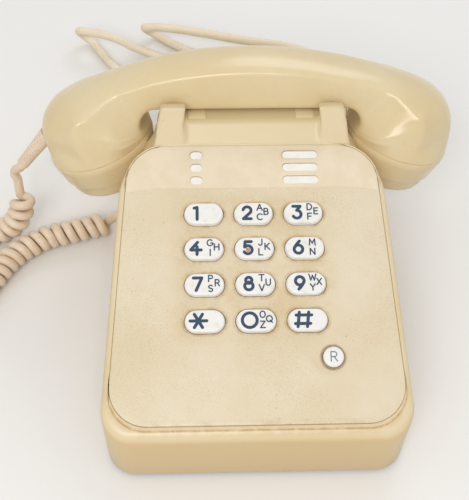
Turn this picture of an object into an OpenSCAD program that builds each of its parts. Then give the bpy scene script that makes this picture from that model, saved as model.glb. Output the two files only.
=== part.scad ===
// Corded desk telephone with push buttons: body, keypad, bell, hook switch, handset and cords.
// X to the right, Y to the rear, Z up. The origin is on the table, under the middle of the body.

/* [Body] */
// Length of the body, front to back
body_l = 220; // [216:0.5:226]
// Width of the body at the front
front_w = 140.3; // [138:0.1:144]
// Width that the sides would taper to at the rear wall
rear_w = 110.6; // [108:0.1:114]
// Height of the front wall at its top edge
front_h = 37.6; // [36:0.1:40]
// Slope of the face in degrees
face_tilt = 20.3; // [19.5:0.1:21]
// Length of the face along its slope
face_len = 137.5; // [136:0.5:139]
// Wall thickness of the cover
wall = 2.4; // [2:0.1:2.8]
// Radius round the top edge of the face
edge_r = 4; // [3:0.1:5]
// Corner radius of the body at the front
front_r = 14; // [10:0.5:18]
// Corner radius at the top end of the face
face_r = 18; // [15:0.5:20]
// Corner radius of the body at the rear
rear_r = 24; // [20:0.5:28]
// Height of the shoulders under the handset's cups
shoulder_h = 35; // [32:0.5:37]
// Height of the rear wall
rear_h = 16; // [14.5:0.5:20]
// Step inwards from the side of the face to the side of the shoulders
shoulder_step = 1.2; // [0.6:0.1:2]

/* [Base] */
// Height of the rubber feet
foot_h = 2; // [1.5:0.1:3]
// Radius of a foot
foot_r = 7; // [5:0.5:9]
// Thickness of the base plate
base_t = 2.4; // [2:0.1:3]
// Gap between base plate and cover
base_gap = 0.4; // [0.3:0.1:0.6]

/* [Neck and cradle] */
// Lean of the cradle and handset, forwards, in degrees
lean = 11; // [10:0.5:12]
// Distance between the outer sides of the horns, at their tops
neck_w = 82; // [80:0.5:84]
// Distance between the inner sides of the horns
horn_gap = 62; // [58:0.5:64]
// Height of the saddle above the line of the cup rims
saddle_t = 20.5; // [20:0.1:21]
// Height of the horns above the saddle
horn_h = 8; // [6:0.1:9]
// Thickness of a horn, front to back
horn_d = 5; // [4:0.1:6]
// Clearance between the handset's grip and each horn
horn_clear = 1.2; // [0.8:0.1:1.6]

/* [Face plate and keys] */
// Distance from the front edge of the face to the plate
plate_s = 6.2; // [5.5:0.1:8]
// Rim of cover left at each side of the plate
plate_rim = 3.4; // [3:0.1:4.5]
// Height of the plate's edge above the face
plate_edge = 0.4; // [0.2:0.1:0.8]
// Height of the plate's flat middle above the face
plate_top = 1.6; // [1.3:0.1:2.2]
// Depth that the plate is let into the cover
plate_seat = 0.8; // [0.6:0.1:1]
// Length of the label strip
strip_len = 22.3; // [20:0.1:24]
// Thickness of the clear strip
strip_t = 0.9; // [0.8:0.1:1]
// Distance between key columns
key_dx = 23; // [22:0.1:24]
// Distance between key rows
key_dy = 16.8; // [16:0.1:17.5]
// Distance from the front edge of the face to the lowest key row
key_s0 = 51.8; // [50:0.1:54]
// Length of a key top
key_l = 17.8; // [16.5:0.1:18.5]
// Width of a key top
key_w = 10.2; // [9.5:0.1:11]
// Height of the keys above the plate
key_h = 2.4; // [1.8:0.1:3]
// Travel of the keys
key_travel = 2.5; // [2:0.1:3]
// Clearance round the keys
key_clear = 0.35; // [0.3:0.05:0.5]
// Diameter of the recall key
recall_d = 8.4; // [7.5:0.1:9]
// Width of the ring round the recall key
ring_w = 1.3; // [1:0.1:1.6]

/* [Handset] */
// Clearance between each cup's rim and the neck
cup_gap = 8.11; // [7.5:0.01:9]
// Radius of the cups at their rims
cup_r = 27; // [26:0.1:28]
// Tilt of each cup towards the middle, in degrees
cup_tilt = 16.5; // [15:0.5:18]
// Height of the middle of the grip's back above the cup rims
crown_t = 45.8; // [44:0.1:47]
// Half the width of the grip
grip_hw = 13.6; // [12.5:0.1:14]
// Gap between saddle and grip
seat_gap = 0.3; // [0.2:0.05:0.4]
// Depth of a cup's cap
cap_h = 19; // [17:0.5:21]
// Width of a cup's rim round its sound capsule
rim_w = 6; // [5.5:0.1:7]

/* [Cords] */
// Diameter of the line cord
line_d = 4.8; // [4.4:0.1:5]
// Distance between turns of the stored line cord
coil_pitch = 5.3; // [5.3:0.1:5.6]
// Diameter of the curly cord's wire
curl_wire = 3.9; // [3.6:0.1:4]
// Radius of the curls, to the middle of the wire
curl_r = 5; // [4.6:0.1:5.1]
// Distance along the cord from one curl to the next
curl_pitch = 5.6; // [5.5:0.1:5.8]

/* [Hidden] */
$fn = 48;

cream = [0.86, 0.78, 0.62];
plate_cream = [0.88, 0.80, 0.64];
handset_cream = [0.87, 0.78, 0.56];
key_white = [0.93, 0.92, 0.88];
cord_beige = [0.85, 0.72, 0.60];

// Places on the body. The face ends at top_y, top_z, and the cup rims are level with seat_y, seat_z.
top_y = -body_l / 2 + face_len * cos(face_tilt);
top_z = front_h + face_len * sin(face_tilt);
seat_y = top_y + 23.5;
seat_z = top_z - 15.8;
cup_dist = neck_w + 2 * cup_r * cos(cup_tilt) + 2 * cup_gap;
capsule_r = cup_r - rim_w;
horn_t = saddle_t + horn_h;
grip_t = saddle_t + seat_gap;
trough_v = grip_hw + 0.4 + horn_clear;
horn_v = trough_v + horn_d;
cover_z = foot_h;
floor_z = foot_h + base_t;
inner_h = shoulder_h - wall;

function half_w(y) = front_w / 2 - (front_w - rear_w) / 2 * (y + body_l / 2) / body_l;
function plate_hw(s) = half_w(-body_l / 2 + s * cos(face_tilt)) - plate_rim;
// A point of the side view that lies v in front of the cradle's middle and t above the cup rims.
function hook(v, t) = [seat_y + t * sin(lean) - v * cos(lean), seat_z + t * cos(lean) + v * sin(lean)];
function mix(a, b, k) = a + (b - a) * k;
function smooth(k) = let(c = min(1, max(0, k))) c * c * (3 - 2 * c);

// The sloping face: x across, y up the slope from its front edge, z out of it.
module on_face() translate([0, -body_l / 2, front_h]) rotate([face_tilt, 0, 0]) children();
// The cradle: x across, y towards the rear, z up along the handset's way out.
module on_hook() translate([0, seat_y, seat_z]) rotate([-lean, 0, 0]) children();
// A cup of the handset, side -1 or 1: z along the cup's axis, upwards from its rim.
module on_cup(side) on_hook() translate([side * cup_dist / 2, 0, 0]) rotate([0, side * cup_tilt, 0]) children();
// A side view with y across and z up, extruded from x0 to x1.
module across(x0, x1) translate([x0, 0, 0]) rotate([90, 0, 90]) linear_extrude(x1 - x0) children();
module bar(a, b) translate(a) cube([for (i = [0:2]) b[i] - a[i]]);

// Body -------------------------------------------------------------------

function arc(x, y, r, a0, a1, n) = [for (k = [0:n]) let(a = mix(a0, a1, k / n)) [x + r * cos(a), y + r * sin(a)]];
function mirrored(p) = concat(p, [for (k = [len(p) - 1:-1:0]) [-p[k][0], p[k][1]]]);

// Plan of the body from y0 to y1, with its corner radii, drawn in by i.
module plan(y0, y1, r0, r1, i) polygon(mirrored(concat(
    arc(half_w(y0 + r0) - r0, y0 + r0, r0 - i, -90, 4, 8), arc(half_w(y1 - r1) - r1, y1 - r1, r1 - i, 4, 90, 8))));

// The rounding of an edge: pairs of inset and drop, for a wall that is i inside the skin.
function edge_steps(i) = let(r = max(edge_r - i, 1.2)) [for (a = [0, 30, 60, 90])
    [i + r * (1 - cos(a)), i + r * (1 - sin(a))]];

module face_block(i) hull() for (e = edge_steps(i)) intersection() {
    translate([0, 0, cover_z - (i > 0 ? 1 : 0)]) linear_extrude(120)
        plan(-body_l / 2, top_y + edge_r, front_r, face_r, e[0]);
    on_face() translate([-100, -50, -300 - e[1]]) cube([200, 300, 300]);
}

module shoulder_block(i) hull() for (e = edge_steps(i)) intersection() {
    linear_extrude(120) plan(-body_l / 4, body_l / 2 + shoulder_step, front_r, rear_r, shoulder_step + e[0]);
    across(-100, 100) polygon([[-body_l / 3, cover_z - (i > 0 ? 1 : 0)], [-body_l / 3, shoulder_h - e[1]],
        [seat_y + 26, shoulder_h - e[1]], [body_l / 2, rear_h - e[1]],
        [body_l / 2, cover_z - (i > 0 ? 1 : 0)]]);
}

// Side view of the neck without its horns.
neck_front = [[top_y - 6, 20], [top_y - 6, top_z - 8], [top_y + 0.3, top_z - 0.4]];
neck_back = [[seat_y + 44, 34], [seat_y + 48, 18]];
neck_core = concat(neck_front, [hook(trough_v + 0.6, saddle_t), hook(-trough_v - 1.6, saddle_t)], neck_back);

// Width of the neck, seen along the trough, with rounded outer edges.
module neck_view(i) offset(r = 3.5 - i) offset(delta = -3.5)
    polygon([[-neck_w / 2 - 4.5, -60], [-neck_w / 2 - 4.5, 0], [-neck_w / 2 - 3, 12], [-neck_w / 2 - 0.6, horn_t - 6],
        [-neck_w / 2, horn_t + 0.2], [neck_w / 2, horn_t + 0.2], [neck_w / 2 + 0.6, horn_t - 6],
        [neck_w / 2 + 3, 12], [neck_w / 2 + 4.5, 0], [neck_w / 2 + 4.5, -60]]);

module neck() difference() {
    intersection() {
        across(-100, 100) offset(r = 1.8, $fn = 24) offset(delta = -1.8) polygon(concat(neck_front,
            [hook(horn_v, horn_t), hook(-horn_v, horn_t)], [mix(hook(-trough_v - 1.6, saddle_t), neck_back[0], 0.6)],
            neck_back));
        on_hook() translate([0, 60, 0]) rotate([90, 0, 0]) linear_extrude(120) neck_view(0);
    }
    // the trough that the grip lies in
    on_hook() across(-60, 60) offset(r = 2, $fn = 24) offset(delta = -2)
        polygon([[-trough_v, saddle_t], [-trough_v, saddle_t + 20], [trough_v, saddle_t + 20], [trough_v, saddle_t]]);
    // the recesses between the horns, in front and behind
    recess(neck_front[2], hook(trough_v + 0.6, saddle_t), -1);
    recess(mix(neck_core[4], neck_back[0], 0.55), neck_core[4], 1);
}

// Cuts what stands above the line from a to b between the horns, with eased edges at the horn tops.
module recess(a, b, side) intersection() {
    across(-60, 60) polygon([a, b, b + [-6 * side, 0], b + [-6 * side, 20], a + [side * 12, 30], a + [side * 12, 0]]);
    on_hook() translate([0, 60, 0]) rotate([90, 0, 0]) linear_extrude(120)
        polygon([[-horn_gap / 2 + 3, -40], [-horn_gap / 2 + 1.5, 14], [-horn_gap / 2, saddle_t - 1],
            [-horn_gap / 2, horn_t - 2.2], [-horn_gap / 2 - 0.6, horn_t - 0.9], [-horn_gap / 2 - 2, horn_t + 0.1],
            [-horn_gap / 2 - 2, 60], [horn_gap / 2 + 2, 60], [horn_gap / 2 + 2, horn_t + 0.1],
            [horn_gap / 2 + 0.6, horn_t - 0.9], [horn_gap / 2, horn_t - 2.2], [horn_gap / 2, saddle_t - 1],
            [horn_gap / 2 - 1.5, 14], [horn_gap / 2 - 3, -40]]);
}

// Cover screws: two near the front corners and two under the shoulders.
boss_y = [-body_l / 2 + 16, seat_y + 13];
boss_x = [half_w(boss_y[0]) - 19, half_w(boss_y[1]) - wall - shoulder_step - 6.2];
boss_r = 4;
screw_r = 1.4;
module at_bosses() for (k = [0, 1], side = [-1, 1]) translate([side * boss_x[k], boss_y[k], 0]) children();

// Screws of the keypad's board, in face coordinates.
pad_x = 50;
pad_s = [key_s0 - 20, key_s0 + 3 * key_dy + 9];
pad_n = -12.4;
module at_pad_screws() for (s = pad_s, side = [-1, 1]) translate([side * pad_x, s, 0]) children();

// The plungers' notches beside the horns.
plunger_x = horn_gap / 2 - 5.2;
plunger_w = 8.6;
plunger_v = [6.4, trough_v + 2.2];
notch_gap = 0.45;

module body_cover() color(cream) difference() {
    union() {
        difference() {
            union() {
                face_block(0);
                shoulder_block(0);
                neck();
            }
            face_block(wall);
            shoulder_block(wall);
            across(-neck_w / 2 + 0.6, neck_w / 2 - 0.6) offset(delta = -wall) polygon(neck_core);
        }
        // screw bosses for the base
        for (side = [-1, 1]) {
            translate([side * boss_x[0], boss_y[0], floor_z])
                cylinder(r = boss_r, h = front_h + 16 * tan(face_tilt) - wall - floor_z);
            translate([side * boss_x[1], boss_y[1], floor_z]) cylinder(r = boss_r, h = inner_h + 1 - floor_z);
        }
        // bosses for the keypad's board
        on_face() at_pad_screws() translate([0, 0, pad_n]) cylinder(r = 3.2, h = -pad_n - wall + 0.4);
        // ribs that carry the hook switch
        on_hook() for (side = [-1, 1]) bar([side * 15 - 1.5, -5, switch_t], [side * 15 + 1.5, 3, saddle_t - wall + 0.5]);
    }
    at_bosses() translate([0, 0, floor_z - 1]) cylinder(r = screw_r, h = 13);
    on_face() at_pad_screws() translate([0, 0, pad_n - 1]) cylinder(r = 1.1, h = 8);
    // seat of the face plate and the opening under it
    on_face() translate([0, 0, -plate_seat]) linear_extrude(10) offset(delta = 0.25) plate_outline();
    on_face() bar([-44, 28, -8], [44, key_s0 + 3 * key_dy + 8, 1]);
    // notches for the plungers, open to the front
    on_hook() for (side = [-1, 1]) bar([side * plunger_x - plunger_w / 2 - notch_gap, -plunger_v[1] - notch_gap,
        saddle_t - 8], [side * plunger_x + plunger_w / 2 + notch_gap, -plunger_v[0] + notch_gap, saddle_t + 1]);
    // cord outlets
    translate([line_exit[0], body_l / 2 - 6, line_exit[1]]) rotate([-90, 0, 0]) cylinder(r = grip_hole, h = 12);
    translate([-half_w(curl_exit[0]) - 6, curl_exit[0], curl_exit[1]]) rotate([0, 90, 0])
        cylinder(r = grip_hole, h = 16);
}

// The base's outline lies inside the cover's walls.
module base_outline() offset(delta = -base_gap) union() {
    plan(-body_l / 2, top_y + edge_r, front_r, face_r, wall);
    plan(-body_l / 4, body_l / 2 + shoulder_step, front_r, rear_r, shoulder_step + wall);
}
foot_x = [half_w(-body_l / 2) - 19, half_w(body_l / 2) - 24];
foot_y = [-body_l / 2 + 31, body_l / 2 - 24];
module at_feet() for (k = [0, 1], side = [-1, 1]) translate([side * foot_x[k], foot_y[k], 0]) children();

module base_plate() color([0.80, 0.71, 0.54]) difference() {
    union() {
        translate([0, 0, foot_h]) linear_extrude(base_t) base_outline();
        // pillars under the main board, and the ringer's seats
        for (x = [-44, 44], y = board_y + [5, -5]) translate([x, y, floor_z]) cylinder(r = 3, h = board_z - floor_z);
        for (x = [-1, 1]) translate([x * gong_x, gong_y, floor_z]) cylinder(r = 5, h = frame_z - floor_z);
        translate([0, coil_y, floor_z]) cylinder(r = 5, h = frame_z - floor_z);
    }
    at_bosses() translate([0, 0, foot_h - 1]) cylinder(r = 1.8, h = 6);
    at_bosses() translate([0, 0, foot_h - 1]) cylinder(r = 3.3, h = 2.3);
    at_feet() translate([0, 0, foot_h - 1]) cylinder(r = 3, h = 6);
}

module feet() color([0.25, 0.24, 0.22]) at_feet() {
    cylinder(r1 = foot_r - 0.6, r2 = foot_r, h = foot_h);
    translate([0, 0, foot_h]) cylinder(r = 2.9, h = base_t);
}

module cover_screws() color("silver") at_bosses() {
    translate([0, 0, foot_h + 0.1]) cylinder(r = 3, h = 1.2);
    translate([0, 0, foot_h + 0.1]) cylinder(r = screw_r - 0.1, h = base_t + 8);
}

// Face plate -------------------------------------------------------------

plate_end = face_len;
strip_s = plate_end - strip_len;
flat_x = 47;
flat_s = [plate_s + 21, plate_end - 8.5];
corner_r = [17, 15];
crease_r = 9;

module plate_outline() polygon(mirrored(concat(
    arc(plate_hw(plate_s + corner_r[0]) - corner_r[0], plate_s + corner_r[0], corner_r[0], -90, 4, 10),
    arc(plate_hw(plate_end - corner_r[1]) - corner_r[1], plate_end - corner_r[1], corner_r[1], 4, 90, 10))));
module flat_outline(i) polygon(mirrored(concat(
    arc(flat_x - crease_r, flat_s[0] + crease_r, crease_r + i, -90, 0, 8),
    arc(flat_x - crease_r, flat_s[1] - crease_r, crease_r + i, 0, 90, 8))));

// The pillow-shaped plate, sunk by d, from its underside up.
module pillow(d) hull() {
    translate([0, 0, -plate_seat]) linear_extrude(plate_seat + plate_edge - d) plate_outline();
    translate([0, 0, -plate_seat]) linear_extrude(plate_seat + plate_top - 0.25 - d) flat_outline(3);
    translate([0, 0, -plate_seat]) linear_extrude(plate_seat + plate_top - d) flat_outline(-1);
}

module strip_space(s) translate([-100, s, -20]) cube([200, 60, 40]);
module obround(l, w) polygon(mirrored(arc((l - w) / 2, 0, w / 2, -90, 90, 10)));
function key_at(c, r) = [(c - 1) * key_dx, key_s0 + (3 - r) * key_dy];
recall_at = [33.7, 35];
skirt = 0.8;

module faceplate() color(plate_cream) on_face() difference() {
    union() {
        difference() {
            pillow(0);
            strip_space(strip_s);
        }
        intersection() {
            pillow(strip_t);
            strip_space(strip_s - 0.01);
        }
    }
    for (c = [0:2], r = [0:3]) translate([key_at(c, r)[0], key_at(c, r)[1], -5]) linear_extrude(10)
        obround(key_l + skirt + 2 * key_clear, key_w + skirt + 2 * key_clear);
    translate([recall_at[0], recall_at[1], -5]) cylinder(r = recall_d / 2 + ring_w, h = 10);
}

card_x = flat_x - 3;
card_t = 0.3;
card_s = [strip_s + 1.4, flat_s[1] - 0.6];
module label_card() color("ivory") on_face()
    bar([-card_x, card_s[0], plate_top - strip_t], [card_x, card_s[1], plate_top - strip_t + card_t]);

module label_window() color([0.93, 0.90, 0.84]) on_face() difference() {
    intersection() {
        pillow(0);
        strip_space(strip_s + 0.1);
    }
    pillow(strip_t);
    bar([-card_x - 0.2, card_s[0] - 0.2, -2], [card_x + 0.2, card_s[1] + 0.2, plate_top - strip_t + card_t + 0.05]);
}

module key_r_ring() color([0.62, 0.58, 0.50]) on_face() translate([recall_at[0], recall_at[1], -plate_seat])
    difference() {
        cylinder(r = recall_d / 2 + ring_w - 0.05, h = plate_seat + plate_top + 0.3);
        translate([0, 0, -1]) cylinder(r = recall_d / 2 + key_clear, h = 10);
    }

// Keys -------------------------------------------------------------------

flange_n = -plate_seat - 0.3;
flange_t = 1.5;
stem_n = -9;
switch_n = -6.3;
stem_w = 5;

// A key: cap with eased edges, flange that the plate holds back, and stem down into its switch.
module key(at) color(key_white) on_face() translate([at[0], at[1], 0]) {
    hull() {
        translate([0, 0, flange_n - 0.5]) linear_extrude(0.5 - flange_n + plate_top) obround(key_l + skirt, key_w + skirt);
        translate([0, 0, plate_top]) linear_extrude(key_h - 0.7) obround(key_l, key_w);
        translate([0, 0, plate_top]) linear_extrude(key_h) obround(key_l - 1.6, key_w - 1.6);
    }
    translate([0, 0, flange_n - flange_t]) linear_extrude(flange_t) obround(key_l + skirt + 1.6, key_w + skirt + 1.6);
    bar([-stem_w / 2, -stem_w / 2, stem_n], [stem_w / 2, stem_w / 2, flange_n - 1]);
}

module key_r() color(key_white) on_face() translate([recall_at[0], recall_at[1], 0]) {
    rotate_extrude() polygon([[0, flange_n - flange_t], [recall_d / 2 + 1, flange_n - flange_t],
        [recall_d / 2 + 1, flange_n], [recall_d / 2, flange_n], [recall_d / 2 - 0.1, plate_top + key_h - 0.8],
        [recall_d / 2 - 0.35, plate_top + key_h - 0.25], [recall_d / 2 - 0.9, plate_top + key_h],
        [0, plate_top + key_h]]);
    bar([-stem_w / 2, -stem_w / 2, stem_n], [stem_w / 2, stem_w / 2, flange_n - 1]);
}

key_places = concat([for (r = [0:3], c = [0:2]) key_at(c, r)], [recall_at]);

module key_switches() color([0.2, 0.2, 0.22]) on_face() for (p = key_places) translate([p[0], p[1], 0]) difference() {
    bar([-5.6, -5.2, pad_n], [5.6, 5.2, switch_n]);
    bar([-stem_w / 2 - 0.4, -stem_w / 2 - 0.4, pad_n + 0.6], [stem_w / 2 + 0.4, stem_w / 2 + 0.4, switch_n + 1]);
}

module keypad_board() color([0.16, 0.36, 0.22]) on_face() difference() {
    bar([-pad_x - 4, pad_s[0] - 4, pad_n - 1.6], [pad_x + 4, pad_s[1] + 4, pad_n]);
    at_pad_screws() translate([0, 0, pad_n - 3]) cylinder(r = 1.4, h = 6);
}

module keypad_screws() color("silver") on_face() at_pad_screws() {
    translate([0, 0, pad_n - 3.2]) cylinder(r = 2.6, h = 1.6);
    translate([0, 0, pad_n - 3.2]) cylinder(r = 1, h = 8);
}

// Hook switch ------------------------------------------------------------

hook_travel = 4;
bridge_t = [saddle_t - wall - hook_travel - 3.6, saddle_t - wall - hook_travel - 0.6];
switch_t = bridge_t[0] - 0.3;

// Both plungers stand on a bridge under the saddle.
module hook_plunger() color(cream) on_hook() {
    for (side = [-1, 1]) bar([side * plunger_x - plunger_w / 2, -plunger_v[1], bridge_t[0]],
        [side * plunger_x + plunger_w / 2, -plunger_v[0], saddle_t]);
    bar([-plunger_x, 4 - plunger_v[1], bridge_t[0]], [plunger_x, -plunger_v[0], bridge_t[1]]);
}

module hook_switch() color([0.22, 0.22, 0.24]) on_hook() {
    bar([-17, -8, switch_t - 12], [17, 3, switch_t]);
    bar([-8, -13, switch_t - 10], [8, -7, switch_t]);
}

// Speech circuit ---------------------------------------------------------

board_y = [-body_l / 2 + 22, -12];
board_z = 9;
module main_board() color([0.18, 0.40, 0.24]) bar([-50, board_y[0], board_z], [50, board_y[1], board_z + 1.6]);
module transformer() color([0.45, 0.33, 0.2]) translate([-26, board_y[1] - 30, board_z + 1.6]) {
    bar([-13, -11, 0], [13, 11, 4]);
    bar([-13, -6, 4], [13, 6, 20]);
    bar([-9, -11, 4], [9, 11, 16]);
}
module capacitors() color([0.25, 0.35, 0.55]) for (x = [6, 22]) translate([x, board_y[1] - 22, board_z + 1.6])
    cylinder(r = 6, h = 17);
module terminal_block() color([0.9, 0.88, 0.8]) translate([14, board_y[1] - 52, board_z + 1.6]) difference() {
    bar([0, 0, 0], [32, 10, 9]);
    for (k = [0:3]) translate([4 + 8 * k, 5, 3]) cylinder(r = 1.7, h = 10);
}

// Bell -------------------------------------------------------------------

gong_x = 23.5;
gong_y = seat_y + 20;
gong_r = 19.5;
gong_h = 9;
gong_t = 1.2;
frame_z = floor_z + 2.2;
frame_t = 1.6;
post_h = 10;
coil_y = gong_y - 38;
gong_z = frame_z + frame_t + post_h;

module ringer_frame() color("silver") {
    bar([-gong_x - 5, gong_y - 5, frame_z], [gong_x + 5, gong_y + 5, frame_z + frame_t]);
    bar([-10, coil_y - 12, frame_z], [10, gong_y, frame_z + frame_t]);
    for (x = [-gong_x, gong_x]) translate([x, gong_y, frame_z]) {
        cylinder(r = 3.5, h = frame_t + post_h);
        cylinder(r = 1.9, h = frame_t + post_h + gong_t);
    }
    // the clapper's pivot
    translate([0, gong_y - 22, frame_z]) cylinder(r = 1, h = frame_t + 9);
    translate([0, gong_y - 22, frame_z]) cylinder(r = 2.5, h = frame_t + 2);
}

module ringer_coil() color([0.55, 0.28, 0.12]) translate([0, coil_y, frame_z + frame_t]) {
    bar([-10, -11, 0], [10, -9, 18]);
    bar([-10, 9, 0], [10, 11, 18]);
    translate([0, -9.5, 9]) rotate([-90, 0, 0]) cylinder(r = 8, h = 19);
}

module ringer_clapper() color("gray") translate([0, gong_y - 22, frame_z + frame_t + 2.3]) {
    difference() {
        union() {
            cylinder(r = 2.6, h = 5.4);
            bar([-1, 0, 2.4], [1, 22, 4.4]);
            translate([0, 22, 3.4]) sphere(r = 2.1, $fn = 24);
            bar([-5, -3.4, 1.4], [5, -1.6, 4.4]);
        }
        translate([0, 0, -1]) cylinder(r = 1.06, h = 8);
    }
}

// A gong is a dome on its post, open below.
module gong() translate([0, 0, gong_z - gong_h]) rotate_extrude() polygon(concat(
    [for (a = [0:15:75]) [gong_r * cos(a) + 0.01, gong_h * sin(a)]], [[5, gong_h], [1.95, gong_h],
    [1.95, gong_h + gong_t], [5.5, gong_h + gong_t]],
    [for (a = [75:-15:0]) [(gong_r + gong_t) * cos(a), (gong_h + gong_t) * sin(a)]]));
module gong_left() color("goldenrod") translate([-gong_x, gong_y, 0]) gong();
module gong_right() color("goldenrod") translate([gong_x, gong_y, 0]) gong();
module gong_screws() color("silver") for (x = [-gong_x, gong_x])
    translate([x, gong_y, gong_z + gong_t]) cylinder(r = 3.4, h = 1.6);

// Handset ----------------------------------------------------------------

// The shell is one loft. Its sections fan out from the rim of each cup round a pivot under the grip's end, then
// run along the grip. A section is [middle x, middle t, direction x, direction t, half height, half width, power].
pivot_gap = 3;
pivot_x = cup_dist / 2 - (cup_r + pivot_gap) * cos(cup_tilt);
pivot_t = (cup_r + pivot_gap) * sin(cup_tilt);
fan_n = 12;
shoulder_fall = 0.356;
end_t = crown_t - 4.2;
side_n = 28;

function fan_outer(a) = let(
    u = (a + cup_tilt) / 12,
    side_x = (2 * cup_r + pivot_gap) * cos(cup_tilt) + 1.5 * smooth(u),
    r1 = side_x / cos(a), r2 = (end_t - pivot_t) / (sin(a) + shoulder_fall * cos(a)))
    a > 80 ? r2 : pow(pow(r1, -6) + (r2 > 0 ? pow(r2, -6) : 0), -1 / 6);
function fan_section(a) = let(
    u = (a + cup_tilt) / (90 + cup_tilt),
    r_in = mix(pivot_gap, grip_t - pivot_t, smooth(u)),
    r_out = u < 0.001 ? 2 * cup_r + pivot_gap : fan_outer(a),
    m = (r_in + r_out) / 2)
    [pivot_x + m * cos(a), pivot_t + m * sin(a), cos(a), sin(a), (r_out - r_in) / 2,
        mix(cup_r, grip_hw + 0.9, smooth((u - 0.32) / 0.68)), mix(2, 3.6, smooth(u / 0.35))];
function grip_section(x) = let(top = crown_t - (crown_t - end_t) * pow(x / pivot_x, 2.4))
    [x, (top + grip_t) / 2, 0, 1, (top - grip_t) / 2, mix(grip_hw, grip_hw + 0.9, pow(x / pivot_x, 2)), 3.6];
half_sections = concat([for (k = [0:fan_n]) fan_section(-cup_tilt + (90 + cup_tilt) * k / fan_n)],
    [for (k = [1:4]) grip_section(pivot_x * (1 - k / 5))]);
sections = concat(half_sections, [grip_section(0)],
    [for (k = [len(half_sections) - 1:-1:0]) let(s = half_sections[k]) [-s[0], s[1], -s[2], s[3], s[4], s[5], s[6]]]);
function power_cos(a, p) = sign(cos(a)) * pow(abs(cos(a)), 2 / p);
function power_sin(a, p) = sign(sin(a)) * pow(abs(sin(a)), 2 / p);
function section_ring(s) = [for (k = [0:side_n - 1]) let(a = 360 * (k + 0.5) / side_n,
    h = s[4] * power_cos(a, s[6]), w = s[5] * power_sin(a, s[6])) [s[0] + h * s[2], w, s[1] + h * s[3]]];

// Closes rings of n points each into a skin of triangles with flat ends.
module skin(rings, n) {
    m = len(rings);
    polyhedron([for (r = rings) for (p = r) p], concat(
        [for (k = [1:n - 2]) [0, k, k + 1]],
        [for (i = [0:m - 2], k = [0:n - 1]) let(a = i * n + k, b = i * n + (k + 1) % n) each [[a, a + n, b], [b, a + n, b + n]]],
        [for (k = [1:n - 2]) [(m - 1) * n, (m - 1) * n + k + 1, (m - 1) * n + k]]), convexity = 6);
}

module handset_shell() color(handset_cream) difference() {
    on_hook() skin([for (s = sections) section_ring(s)], side_n);
    for (side = [-1, 1]) on_cup(side) translate([0, 0, -4]) cylinder(r = capsule_r + 0.8, h = 14);
    on_hook() translate(boot_at - 6 * boot_dir) rotate([0, boot_turn, 0]) cylinder(r = 2.6, h = 8);
    on_hook() translate(boot_at) rotate([0, boot_turn, 0]) cylinder(r = 4.3, h = 9);
}

cap_wall = 2;
hole_n = 6;
// A cap: cone with a ridge line, hollow, with sound holes in its face.
module cap(side) color(handset_cream) on_cup(side) difference() {
    rotate_extrude() polygon([[0, -cap_h], [cup_r * 0.62, -cap_h], [cup_r * 0.72, -cap_h + 0.8],
        [cup_r * 0.8, -cap_h + 2.6], [cup_r * 0.9, -cap_h + 6.6], [cup_r - 0.2, -3], [cup_r - 0.2, 0],
        [capsule_r + 0.4, 0], [capsule_r + 0.4, -8], [capsule_r - 1.2, -cap_h + 5],
        [cup_r * 0.6, -cap_h + cap_wall], [0, -cap_h + cap_wall]]);
    for (k = [0:hole_n]) rotate(60 * k) translate([k == hole_n ? 0 : 8, 0, -cap_h - 1]) cylinder(r = 1.3, h = cap_wall + 2);
}
module mouth_cap() cap(-1);
module ear_cap() cap(1);
module capsule(side) color([0.3, 0.3, 0.32]) on_cup(side) {
    translate([0, 0, -8]) cylinder(r = capsule_r, h = 14);
    translate([0, 0, -8 - 4]) cylinder(r = capsule_r - 4, h = 5);
    translate([0, 0, 5]) cylinder(r = 8, h = 5);
}
module mouth_capsule() capsule(-1);
module ear_capsule() capsule(1);

// The boot stands out of the outer end of the left cup, in the cradle's own directions.
boot_turn = -141;
boot_dir = [sin(boot_turn), 0, cos(boot_turn)];
boot_at = [-cup_dist / 2 - cup_r + 0.8, 0, 0.8];
boot_len = 24;
module handset_boot() color(cord_beige) on_hook() translate(boot_at - 5 * boot_dir) rotate([0, boot_turn, 0]) difference() {
    union() {
        cylinder(r = 2.5, h = 6);
        translate([0, 0, 5]) cylinder(r1 = 4, r2 = 3.1, h = boot_len);
    }
    translate([0, 0, boot_len - 1]) cylinder(r = curl_wire / 2 + 0.1, h = 10);
}

// Cords ------------------------------------------------------------------

line_exit = [-20, 8.5];
curl_exit = [34, 16];
grip_hole = 3.6;
grip_lip = 0.3;
grip_gap = 0.35;

// A strain relief: lip behind the wall, neck through it, and a tapered sleeve in front.
module grip(len, hole_r) difference() {
    union() {
        translate([0, 0, -wall - grip_gap - 1.6]) cylinder(r = grip_hole + grip_lip, h = 1.6);
        translate([0, 0, -wall - grip_gap - 1]) cylinder(r = grip_hole - 0.1, h = wall + 2 * grip_gap + 1.2);
        translate([0, 0, grip_gap]) cylinder(r1 = grip_hole + 0.6, r2 = 3.1, h = len - grip_gap);
    }
    translate([0, 0, len - 4]) cylinder(r = hole_r, h = 5);
}
module line_cord_grip() color(cord_beige) translate([line_exit[0], body_l / 2, line_exit[1]]) rotate([-90, 0, 0]) grip(9, line_r + 0.1);
module handset_cord_grip() color(cord_beige)
    translate([-half_w(curl_exit[0]) + shoulder_step, curl_exit[0], curl_exit[1]]) rotate([0, -90, 0]) grip(5, curl_wire / 2 + 0.1);

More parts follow.
